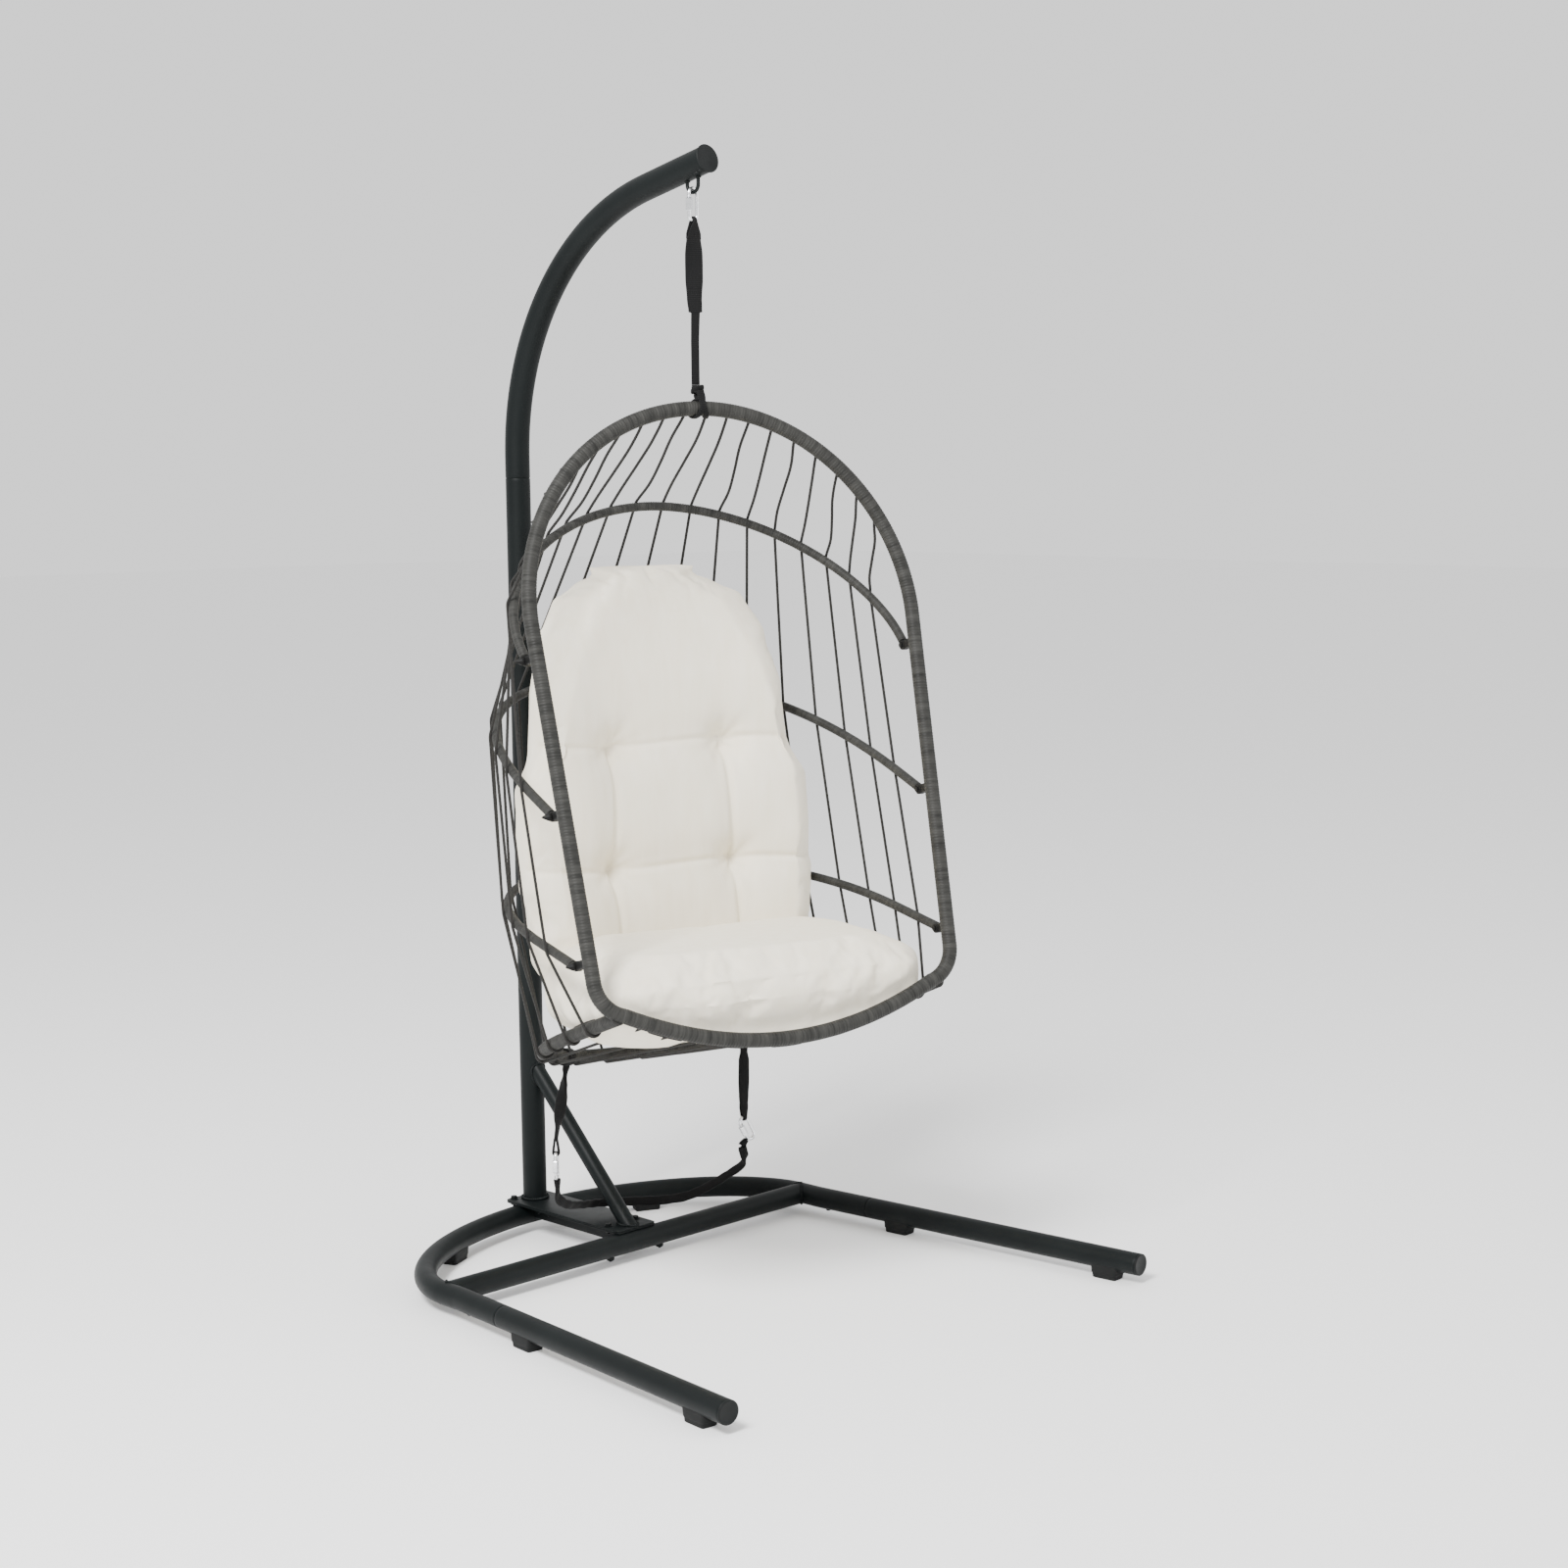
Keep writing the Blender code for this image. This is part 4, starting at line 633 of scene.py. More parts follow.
def arc_path():
    """The rear arc's centreline, from the right leg's joint round to the left one's."""
    t = np.linspace(0, math.pi / 2, 90)[1:-1]
    half = [(ARC_HALF_WIDTH * math.cos(k) ** (2 / ARC_POWER), ARC_DEPTH * math.sin(k) ** (2 / ARC_POWER))
            for k in t]
    straight = Vector(LEG_SEAM) - (Vector(LEG_TIP) - Vector(LEG_SEAM)).normalized() * 0.130
    right = [LEG_SEAM, tuple(straight), (ARC_HALF_WIDTH, 0.0)] + half
    left = [(-x, y) for x, y in reversed(right)]
    return [base_point(x, y) for x, y in right + [(0.0, ARC_DEPTH)] + left]


def make_base(paint, plastic, rubber):
    arc = arc_path()
    shape = Shape()
    tube(shape, arc, BASE_R, side=(0, 0, 1))
    shape.build("rear_arc", "tube", paint, "stand", "stand_paint")
    length = (Vector(LEG_TIP) - Vector(LEG_SEAM)).length
    for name, sign in (("left", -1), ("right", 1)):
        line = leg_direction(sign)
        seam = base_point(sign * LEG_SEAM[0], LEG_SEAM[1])
        shape = Shape()
        tube(shape, [seam + line * GAP, seam + line * length], BASE_R, side=(0, 0, 1))
        tube(shape, [seam - line * SPIGOT_HALF, seam + line * SPIGOT_HALF], BASE_R - SPIGOT_INSET,
             side=(0, 0, 1))
        shape.build(f"leg_{name}", "tube", paint, "stand", "stand_paint")
        make_cap(f"leg_cap_{name}", seam + line * length, line, BASE_R, plastic)
        low = base_point(seam.x, seam.y - CROSSBAR_Y, BASE_Z - BASE_R) - line * SCREW_BACK
        shape = Shape()
        shape.lathe([(0.0018, -0.0030), (0.0034, -0.0027), (0.0048, -0.0016), (0.0053, 0.0),
                     (0.0053, 0.002)], low)
        shape.build(f"leg_screw_{name}", "head", paint, "stand", "stand_paint")
    shape = Shape()
    half = ARC_HALF_WIDTH - 0.004
    tube(shape, [base_point(-half, 0), base_point(half, 0)], BASE_R, side=(0, 0, 1))
    for sign in (-1, 1):
        saddle = [base_point(sign * (ARC_HALF_WIDTH - BASE_R * abs(math.cos(t)) - 0.0008),
                             BASE_R * 1.02 * math.cos(t), BASE_Z + BASE_R * 1.02 * math.sin(t))
                  for t in round_turn(60)]
        bead(shape, saddle, 0.0022)
    for x in (-0.060, 0.060):
        under = base_point(x, 0, BASE_Z - BASE_R + 0.0008)
        hex_head(shape, under, (0, 0, -1), 0.0072, 0.0062)
        shape.lathe([(0.0030, 0.0), (0.0030, 0.0078), (0.0024, 0.0086)], under, (0, 0, -1), sides=20)
    shape.build("crossbar", "tube", paint, "stand", "stand_paint")
    make_beam(paint)
    make_feet(rubber, arc)


def make_beam(paint):
    top = BASE_Z + BASE_R
    shape = Shape()
    middle = top - BEAM_HEIGHT / 2
    path = [base_point(0, y, middle) for y in (BEAM_INSET, ARC_DEPTH - BEAM_INSET)]
    shape.sweep(resample(path, 0.02), rounded(BEAM_WIDTH, BEAM_HEIGHT, 12.0, 56), side=(1, 0, 0))
    side_x = -BEAM_WIDTH / 2
    for y, z in ((0.055, -0.010), (0.225, -0.012), (0.255, -0.012)):
        shape.lathe([(0.0015, 0.0026), (0.0032, 0.0022), (0.0042, 0.0010), (0.0044, -0.001)][::-1],
                    base_point(side_x, y, top + z), (-1, 0, 0), sides=24)
    shape.build("centre_beam", "tube", paint, "stand", "stand_paint")


def make_cap(node, centre, direction, r, material):
    """A moulded end cap with a softened edge and a shallow dish."""
    profile = [(r * 0.6, GAP), (r - 0.0004, GAP), (r, 0.0008), (r, 0.0018), (r - 0.0005, 0.0026),
               (r - 0.0014, 0.0030), (r - 0.0040, 0.0030), (r - 0.0055, 0.0026), (0.0015, 0.0025)]
    shape = Shape().lathe(profile, centre, direction, sides=56)
    shape.build(node, "moulded", material, "stand", "cap_plastic", sharp=50)


def hex_head(shape, start, axis, radius, height):
    shape.lathe([(radius * 0.9, 0.0), (radius, 0.0004), (radius, height * 0.82), (radius * 0.88, height),
                 (radius * 0.3, height)], start, axis, sides=6)


def make_plates(paint, bolt_paint):
    low = BASE_Z + BASE_R + GAP
    middle = (PLATE_FRONT + PLATE_REAR) / 2
    depth = PLATE_REAR - PLATE_FRONT
    for node in ("base_bracket", "base_plate"):
        soft = 0.0007
        rows = []
        for z, inset in ((0, soft), (soft * 0.3, soft * 0.3), (soft, 0), (PLATE_T - soft, 0),
                         (PLATE_T - soft * 0.3, soft * 0.3), (PLATE_T, soft)):
            width = 2 * (PLATE_HALF_WIDTH - inset)
            rows.append((base_point(0, middle, low + z), width, depth - 2 * inset, 0.0))
        shape = Shape().stack(rows, power=26.0, steps=1, sides=96)
        shape.build(node, "sheet", paint, "stand", "stand_paint")
        low += PLATE_T + GAP
    top = low - GAP
    for end, y in zip(("front", "rear"), BOLT_Y):
        for side, x in (("left", -BOLT_X), ("right", BOLT_X)):
            shape = Shape()
            spot = base_point(x, y, top)
            shape.lathe([(0.0020, 0.0), (0.0078, 0.0), (0.0078, 0.0011), (0.0050, 0.0012)], spot)
            hex_head(shape, spot + Vector((0, 0, 0.0011)), (0, 0, 1), 0.0064, 0.0045)
            hex_head(shape, base_point(x, y, BASE_Z + BASE_R), (0, 0, -1), 0.0064, 0.0050)
            shape.lathe([(0.0029, 0), (0.0029, 0.0075), (0.0023, 0.0082)],
                        base_point(x, y, BASE_Z + BASE_R), (0, 0, -1), sides=20)
            shape.build(f"plate_bolt_{end}_{side}", "hex", bolt_paint, "stand", "stand_paint")
    return top


def arm_path():
    y0 = CROSSBAR_Y + ARC_DEPTH
    centre = y0 - ARM_BEND_R
    points = [(y0, POST_SEAM_Z + GAP), (y0, ARM_BEND_Z)]
    points += [(centre + ARM_BEND_R * math.cos(t), ARM_BEND_Z + ARM_BEND_R * math.sin(t))
               for t in np.linspace(0, ARM_BEND_END, 80)[1:]]
    y, z = points[-1]
    points.append((y - math.sin(ARM_BEND_END) * ARM_STRAIGHT, z + math.cos(ARM_BEND_END) * ARM_STRAIGHT))
    return [Vector((0, y, z)) for y, z in points]


def make_mast(paint, plastic, top):
    foot = Vector((0, CROSSBAR_Y + ARC_DEPTH, top))
    shape = Shape()
    tube(shape, [foot + Vector((0, 0, GAP)), Vector((0, foot.y, POST_SEAM_Z))], POST_R, 48, side=(1, 0, 0))
    circle = [foot + Vector(((POST_R + 0.0012) * math.cos(t), (POST_R + 0.0012) * math.sin(t), 0.0022))
              for t in round_turn(60)]
    bead(shape, circle, 0.0030)
    shape.build("post", "tube", paint, "stand", "stand_paint")
    path = arm_path()
    shape = Shape()
    tube(shape, path, POST_R, 48, side=(1, 0, 0))
    seam = Vector((0, foot.y, POST_SEAM_Z))
    rise = Vector((0, 0, SPIGOT_HALF))
    tube(shape, [seam - rise, seam + rise], POST_R - SPIGOT_INSET, 48, side=(1, 0, 0))
    shape.build("arm", "tube", paint, "stand", "stand_paint")
    direction = (path[-1] - path[-2]).normalized()
    make_cap("arm_cap", path[-1], direction, POST_R + ARM_CAP_FLANGE, plastic)
    make_brace(paint, top, foot)
    make_eyelet(paint)


def make_brace(paint, top, foot):
    def on_line(z):
        return Vector((0, CROSSBAR_Y + z + BRACE_LINE, z))
    shape = Shape()
    ends = [on_line(top - BRACE_SINK), on_line(ARC_DEPTH - BRACE_LINE - BRACE_SHORT)]
    tube(shape, ends, BRACE_R, 40, side=(1, 0, 0))
    low = []
    high = []
    for t in round_turn(60):
        x = (BRACE_R + WELD_STAND_OFF) * math.cos(t)
        across = (BRACE_R + WELD_STAND_OFF) * math.sin(t)
        y_low = on_line(top).y + across * math.sqrt(2)
        low.append(Vector((x, y_low, top + 0.0012)))
        y_post = foot.y - math.sqrt(max((POST_R + WELD_STAND_OFF) ** 2 - x * x, 0))
        high.append(Vector((x, y_post, y_post - CROSSBAR_Y - BRACE_LINE + across * math.sqrt(2))))
    bead(shape, low, 0.0024)
    bead(shape, high, 0.0024)
    shape.build("brace", "tube", paint, "stand", "stand_paint")


def make_eyelet(paint):
    high = EYE_BOTTOM_Z + EYE_HEIGHT
    path = [Vector((0, HANG_Y - EYE_HALF_WIDTH, high))]
    for t in np.linspace(0, math.pi, 40):
        y = HANG_Y - EYE_HALF_WIDTH * math.cos(t)
        path.append(Vector((0, y, EYE_BOTTOM_Z + EYE_HALF_WIDTH * (1 - math.sin(t)))))
    path.append(Vector((0, HANG_Y + EYE_HALF_WIDTH, high)))
    shape = Shape().sweep(resample(path, 0.0015), ring(EYE_ROD_R, 24), side=(1, 0, 0))
    arm = arm_path()
    direction = (arm[-1] - arm[-2]).normalized()
    for y in (HANG_Y - EYE_HALF_WIDTH, HANG_Y + EYE_HALF_WIDTH):
        along = (y - arm[-1].y) / direction.y
        z = arm[-1].z + direction.z * along - POST_R / abs(direction.y)
        reach = EYE_ROD_R + 0.0006
        collar = [Vector((reach * math.cos(t), y + reach * math.sin(t), z + 0.0004))
                  for t in round_turn(30)]
        bead(shape, collar, 0.0016)
    shape.build("eyelet", "rod", paint, "stand", "stand_paint")


def make_feet(rubber, arc):
    """Moulded feet: tapered blocks with softened edges, the tube lying in their saddle."""
    path = resample(arc, 0.002)
    length = (Vector(LEG_TIP) - Vector(LEG_SEAM)).length
    for side, sign in (("left", -1), ("right", 1)):
        line = leg_direction(sign)
        seam = base_point(sign * LEG_SEAM[0], LEG_SEAM[1])
        back = int(np.argmin(np.abs(path[:, 0] - sign * FOOT_REAR_X) + (path[:, 1] < CROSSBAR_Y) * 9))
        heading = Vector(path[back + 1] - path[back - 1]).normalized()
        spots = {"middle": (seam + line * FOOT_MIDDLE, line),
                 "front": (seam + line * (length - FOOT_FRONT), line),
                 "rear": (Vector(path[back]), heading)}
        for place, (spot, direction) in spots.items():
            turn = math.atan2(direction.y, direction.x)
            rows = [(Vector((spot.x, spot.y, z)), long, wide, turn)
                    for z, long, wide in ((0.0, FOOT_LENGTH * 0.83, FOOT_WIDTH * 0.84),
                                          (0.0012, FOOT_LENGTH * 0.87, FOOT_WIDTH * 0.90),
                                          (0.0080, FOOT_LENGTH * 0.90, FOOT_WIDTH * 0.92),
                                          (0.0095, FOOT_LENGTH * 0.95, FOOT_WIDTH * 0.97),
                                          (FOOT_TOP - 0.0012, FOOT_LENGTH, FOOT_WIDTH),
                                          (FOOT_TOP, FOOT_LENGTH * 0.97, FOOT_WIDTH * 0.96))]
            shape = Shape().stack(rows, power=9.0, steps=3, sides=44)
            shape.build(f"foot_{place}_{side}", "moulded", rubber, "stand", "foot_rubber", sharp=50)


# ==========================================================
# links and straps
# ==========================================================
def link_matrix(top, tilt=0.0, turn=0.0):
    drop = Matrix.Translation((0, 0, LINK_HALF_WIDTH))
    lean = drop.inverted() @ Matrix.Rotation(tilt, 4, "Y") @ drop
    return Matrix.Translation(top) @ Matrix.Rotation(turn, 4, "Z") @ lean


def make_link(name, length, matrix, zinc, body):
    """A quick link: bent rod, its threaded gap and the six-sided sleeve nut that closes it."""
    middle = -length / 2
    straight = length / 2 - LINK_HALF_WIDTH
    points = [(-LINK_HALF_WIDTH, middle + LINK_MOUTH)]
    for side in (-1, 1):
        level = middle - side * straight
        points.append((side * LINK_HALF_WIDTH, level))
        points += [(side * LINK_HALF_WIDTH * math.cos(t), level - side * LINK_HALF_WIDTH * math.sin(t))
                   for t in np.linspace(0, math.pi, 26)[1:-1]]
        points.append((-side * LINK_HALF_WIDTH, level))
    points.append((-LINK_HALF_WIDTH, middle - LINK_MOUTH))
    path = resample([(x, 0, z) for x, z in points], 0.0008)
    shape = Shape().sweep(path, ring(LINK_ROD_R, 24), side=(0, 1, 0))
    shape.build(name, "rod", zinc, body, "zinc", matrix)
    half = SLEEVE_LENGTH / 2
    r = SLEEVE_R
    profile = [(r * 0.55, -half), (r * 0.86, -half), (r, -half + 0.0010), (r, half - 0.0010),
               (r * 0.86, half), (r * 0.55, half)]
    shape = Shape().lathe(profile, (-LINK_HALF_WIDTH, 0, middle), sides=6, spin=math.radians(30))
    thread = [(LINK_ROD_R, half)]
    for i in range(THREAD_TURNS):
        foot = half + i * THREAD_PITCH
        thread += [(LINK_ROD_R + THREAD_DEPTH, foot + THREAD_PITCH / 2), (LINK_ROD_R, foot + THREAD_PITCH)]
    shape.lathe(thread, (-LINK_HALF_WIDTH, 0, middle), sides=24)
    shape.build(name + "_sleeve", "nut", zinc, body, "zinc", matrix, sharp=25)


def web_bow(shape, place, drop, width, neck, below=True):
    """Webbing round a link's bow: bunched on the bow, opening to full width at drop."""
    radius = LINK_ROD_R + 0.0003 + WEB_T / 2
    side = 1 if below else -1
    bunched = neck / width
    pinch = WEB_T / 2 + 0.0002
    runs = ((radius * 0.97, -0.10), (radius * 0.80, -0.38), (radius * 0.55, -0.7), (pinch, -1.0))
    leg = [(y, side * fall * drop, bunched + (1 - bunched) * min(1.0, abs(fall) * 1.25))
           for y, fall in runs]
    bow = [(-radius * math.cos(t), side * radius * math.sin(t), bunched)
           for t in np.linspace(0, math.pi, 20)]
    stations = [(-y, z, wide) for y, z, wide in reversed(leg)] + bow + leg
    path = np.array([(0, y, z) for y, z, wide in stations])
    scale = [wide for y, z, wide in stations]
    s = distances(path)
    even = np.linspace(0, s[-1], 90)
    path = np.stack([np.interp(even, s, path[:, k]) for k in range(3)], axis=1)
    wide = np.interp(even, s, scale)
    thick = 1 + (1 - wide) * 0.8
    moved = [place @ Vector(p) for p in path]
    side_axis = tuple(place.to_3x3() @ Vector((1, 0, 0)))
    shape.sweep(moved, rounded(width, WEB_T, 3.2), side=side_axis, scale=np.stack([wide, thick], axis=1))


def make_hang_strap(webbing):
    """Doubled webbing from the top link: sewn wide part, then a narrow run to the knot."""
    top = Vector((0, HANG_Y, LINK_LOW_Z))
    shape = Shape()
    web_bow(shape, Matrix.Translation(top), 0.030, 0.031, 0.0068)
    wide = 2 * WEB_T + 0.0006
    neck = 1.705 - LINK_LOW_Z
    spread = Vector((0.0030, -0.0036, 0))
    rows = [(top + Vector((0, 0, -0.026)), 0.0300, wide, 0.0),
            (top + Vector((0, 0, -0.060)), 0.0310, wide, STRAP_TURN * 0.6),
            (top + Vector((0, 0, -0.095)), 0.0300, wide, STRAP_TURN),
            (top + Vector((0, 0, neck + 0.020)), 0.0255, wide + 0.001, STRAP_TURN),
            (top + spread * 0.3 + Vector((0, 0, neck)), 0.0235, wide + 0.001, STRAP_TURN),
            (top + spread * 0.3 + Vector((0, 0, neck - 0.0015)), 0.0150, wide, STRAP_TURN),
            (top + Vector((0, 0, -0.20)), 0.0140, wide * 0.95, STRAP_TURN),
            (top + Vector((0, 0, HITCH_TOP_Z - LINK_LOW_Z)), 0.0140, wide * 0.95, STRAP_TURN)]
    shape.stack(rows, power=4.0, steps=8)
    across = Vector((math.cos(STRAP_TURN), math.sin(STRAP_TURN), 0))
    face = Vector((-math.sin(STRAP_TURN), math.cos(STRAP_TURN), 0))
    for height in (-0.112, -0.118, neck + 0.010, neck + 0.004):
        for sign in (-1, 1):
            middle = top + face * (sign * (wide / 2 + 0.0001)) + Vector((0, 0, height))
            row = [middle + across * x for x in np.linspace(-0.0105, 0.0105, 60)]

            def stitch(s, turn):
                return 0.55 + 0.45 * np.abs(np.sin(s * math.pi / 0.0026))
            shape.sweep(row, ring(0.0006, 8), relief=stitch)
    shape.build("hang_strap", "webbing", webbing, "strap_body", "webbing")


def make_hitch(webbing):
    """The strap's loop hitched round the rim: two crossing turns and the knot above them."""
    top = np.array((0.0, *RIM_TOP))
    shape = Shape()
    reach = RIM_R + 0.0026
    for offset, lean in ((-0.0100, -0.0045), (0.0100, 0.0045)):
        points = []
        for t in np.linspace(math.radians(125), math.radians(-235), 40):
            spread = offset * (0.70 - 0.42 * math.sin(t)) + lean * math.cos(t)
            points.append(top + np.array((spread, reach * math.cos(t), reach * math.sin(t))))
        head = [top + np.array((offset * 0.15, 0.0040, 0.0300)),
                top + np.array((offset * 0.28, 0.0075, 0.0200))]
        tail = [top + np.array((offset * 0.28, -0.0075, 0.0200)),
                top + np.array((offset * 0.15, -0.0040, 0.0300))]
        path = smooth([*head, *points[2:-2], *tail], 0.0012)
        shape.sweep(path, rounded(0.0088, 0.0050, 2.6, 20), side=(1, 0, 0))
    low = RIM_TOP[1] + RIM_R + 0.012
    turn = STRAP_TURN - BASKET_TURN
    rise = HITCH_TOP_Z - GAP - low
    rows = [(Vector((0, RIM_TOP[0] * (1 - k), low + rise * k)), w, t, turn * k)
            for k, w, t in ((0.0, 0.0100, 0.0080), (0.25, 0.0180, 0.0130), (0.65, 0.0190, 0.0135),
                            (0.9, 0.0150, 0.0100), (1.0, 0.0138, 0.0066))]
    shape.stack(rows, power=2.6, steps=6)
    ball = np.array((0.0, RIM_TOP[0] * 0.45, low + rise * 0.5))
    knot = [ball + np.array((0.0098 * math.cos(t), 0.0074 * math.sin(t), 0.0038 * math.cos(t + 0.8)))
            for t in round_turn(50)]
    shape.sweep(knot, rounded(0.0085, 0.0042, 2.6, 20), closed=True, side=(0, 0, 1))
    shape.build("rim_hitch", "webbing", webbing, "basket", "webbing", TO_WORLD)


def seat_bar_at(w):
    """The point of the seat frame's centreline beside w, and the next one along it."""
    path = resample(seat_half(), 0.001)
    nearest = int(np.argmin(np.abs(path[:, 0] - abs(w))))
    return path[nearest], path[nearest + 1]


def lower_strap(side, tie, webbing):
    """Webbing hitched twice round the seat frame, falling to its quick link's bow."""
    hitch_w = tie["hitch_w"]
    spot, near = seat_bar_at(hitch_w)
    direction = Vector((math.copysign(1, hitch_w) * (near[0] - spot[0]), near[1] - spot[1],
                        near[2] - spot[2])).normalized()
    spot = Vector((hitch_w, spot[1], spot[2]))
    across = Vector((0, 0, 1)).cross(direction).normalized()
    up = direction.cross(across).normalized()
    shape = Shape()
    band = SEAT_R + 0.0024
    for offset, slant in ((-0.0055, 0.0035), (0.0055, -0.0035)):
        loop = [spot + direction * (offset + slant * math.cos(t)) + across * (band * math.cos(t))
                + up * (band * math.sin(t)) for t in round_turn(44)]
        outline = rounded(LOWER_STRAP_WIDTH * 0.62, 0.0034, 3.2, 24)
        shape.sweep(loop, outline, closed=True, side=tuple(direction))
    bow_top = Vector((tie["link_w"], spot.y, tie["link_z"]))
    place = Matrix.Translation(bow_top) @ Matrix.Rotation(tie["turn"], 4, "Z")
    web_bow(shape, place, 0.026, LOWER_STRAP_WIDTH * 0.78, 0.0068, below=False)
    high = Vector((spot.x, spot.y, spot.z - SEAT_R - 0.001))
    low = bow_top + Vector((0, 0, 0.0225))
    bar_turn = math.atan2(direction.y, direction.x)
    rows = []
    for share, width, thick in ((0.0, 0.72, 0.0090), (0.05, 0.66, 0.0110), (0.13, 0.62, 0.0085),
                                (0.28, 0.90, 0.0068), (0.6, 0.98, 0.0066), (0.85, 0.92, 0.0066),
                                (1.0, 0.78, 0.0066)):
        turn = bar_turn + (tie["turn"] - bar_turn) * min(1.0, share * 1.15)
        rows.append((high.lerp(low, share), LOWER_STRAP_WIDTH * width, thick, turn))
    shape.stack(rows, power=3.6, steps=8)
    shape.build("lower_strap_" + side, "webbing", webbing, "basket", "webbing", TO_WORLD)
    return bow_top


def safety_path():
    """The strap's centreline in the row frame, from its left link to its right one."""
    ends = []
    for tie in LOWER_TIES.values():
        spot = seat_bar_at(tie["hitch_w"])[0]
        bow = Vector((tie["link_w"], spot[1], tie["link_z"]))
        matrix = link_matrix(bow, tie["tilt"], tie["turn"])
        centre = matrix @ Vector((0, 0, LINK_HALF_WIDTH - LOWER_LINK_LENGTH))
        away = Matrix.Rotation(tie["turn"], 3, "Z") @ Vector((math.sin(tie["leave"]), 0,
                                                              -math.cos(tie["leave"])))
        reach = LINK_HALF_WIDTH + LINK_ROD_R + tie["clear"]
        ends.append((centre + away * reach, centre + away * (reach + 0.012)))
    route = [ends[0][0], ends[0][1], *[Vector(p) for p in SAFETY_ROUTE], ends[1][1], ends[1][0]]
    return [TO_WORLD @ Vector(p) for p in smooth(route, 0.004)]


def make_safety_strap(webbing):
    """A limp flat strap: its face turns on its way and its edges rumple."""
    path = safety_path()
    s = distances(np.array([tuple(p) for p in path]))
    share = s / s[-1]
    turn = math.radians(35) * np.sin(share * 5.2 + 0.4)
    tangents = unit(np.gradient(np.array([tuple(p) for p in path]), axis=0))
    level = unit(np.cross(tangents, np.array((0.0, 0.0, 1.0))))
    upright = np.cross(level, tangents)
    side = upright * np.cos(turn)[:, None] + level * np.sin(turn)[:, None]
    width = 1 - 0.10 * np.sin(share * 61) ** 2 - 0.35 * np.exp(-(share * (1 - share) / 0.02) ** 2)
    thick = 1 + 0.35 * np.sin(share * 47) ** 2 + 1.2 * np.exp(-(share * (1 - share) / 0.02) ** 2)
    shape = Shape().sweep(path, rounded(SAFETY_WIDTH, 0.0052, 3.0, 30), side=side,
                          scale=np.stack([width, thick], axis=1))
    strap = shape.build("safety_strap", "webbing", webbing, "tether", "webbing")


# ==========================================================
# basket frame
# ==========================================================
def rim_point(w, down):
    return Vector((w, RIM_TOP[0] - down * math.sin(RIM_LEAN), RIM_TOP[1] - down * math.cos(RIM_LEAN)))


def rim_half():
    """One half of the rim's outline as (w, down), from the top to the lowest point."""
    points = [(RIM_ARCH_R * math.sin(t), RIM_ARCH_R * (1 - math.cos(t)))
              for t in np.linspace(0, math.pi / 2, 60)]
    corner_w = RIM_FOOT_HALF - RIM_CORNER_R
    points.append((RIM_FOOT_HALF, RIM_SIDE_END))
    points += [(corner_w + RIM_CORNER_R * math.cos(t), RIM_SIDE_END + RIM_CORNER_R * math.sin(t))
               for t in np.linspace(0, math.radians(76), 20)[1:]]
    last_w, last_down = points[-1]
    sag = RIM_BOTTOM - last_down
    points += [(last_w * (1 - k), last_down + sag * (1 - (1 - k) ** 2)) for k in np.linspace(0, 1, 30)[1:]]
    return points


def rim_side_w(z):
    down = (RIM_TOP[1] - z) / math.cos(RIM_LEAN)
    share = (down - RIM_ARCH_R) / (RIM_SIDE_END - RIM_ARCH_R)
    return RIM_ARCH_R + (RIM_FOOT_HALF - RIM_ARCH_R) * share


def rim_a(z):
    return RIM_TOP[0] - (RIM_TOP[1] - z) * math.tan(RIM_LEAN)


def bow_half(half, depth, mid, power):
    """Half of a rounded bow as (w, a), from the middle of its back to its side."""
    return [(half * math.cos(t) ** (2 / power), mid + depth * math.sin(t) ** (2 / power))
            for t in np.linspace(math.pi / 2 - 1e-6, 0, 60)]


def hoop_half(hoop):
    bolt_a = rim_a(hoop["bolt_z"]) + HOOP_BOLT_BACK
    front = bolt_a + 0.0088 * math.cos(hoop["tilt"])
    flat = bow_half(hoop["half"], hoop["depth"], hoop["mid"], hoop["power"]) + [(hoop["half"], front)]
    return [Vector((w, a, hoop["bolt_z"] + (a - bolt_a) * math.tan(hoop["tilt"]))) for w, a in flat]


def seat_half():
    flat = bow_half(SEAT_HALF, SEAT_DEPTH, SEAT_MID, SEAT_POWER) + [(SEAT_FRONT_HALF, SEAT_FRONT[0])]
    return [Vector((w, a, SEAT_FRONT[1] + (a - SEAT_FRONT[0]) * math.tan(SEAT_TILT))) for w, a in flat]


def mirrored(half):
    return half[::-1] + [Vector((-p.x, p.y, p.z)) for p in half[1:]]


def wrapped(radius, pitch):
    """Relief of a bar wound with flat strips, one after another in a helix."""
    def relief(s, turn):
        phase = s / pitch + turn
        strip = np.sqrt(np.abs(np.sin(math.pi * phase)))
        tilt = 0.25 * (phase - np.floor(phase) - 0.5)
        return 1 + (STRIP_RISE * (strip - 0.75) + STRIP_TILT * tilt) / radius
    return relief


def wound_bar(node, path, radius, sides, pitch, side, wicker, closed=False):
    outline = ring(radius, sides)
    shape = Shape().sweep(path, outline, closed=closed, side=side, relief=wrapped(radius, pitch))
    shape.build(node, "wicker", wicker, "basket", "wicker", TO_WORLD, sharp=80)


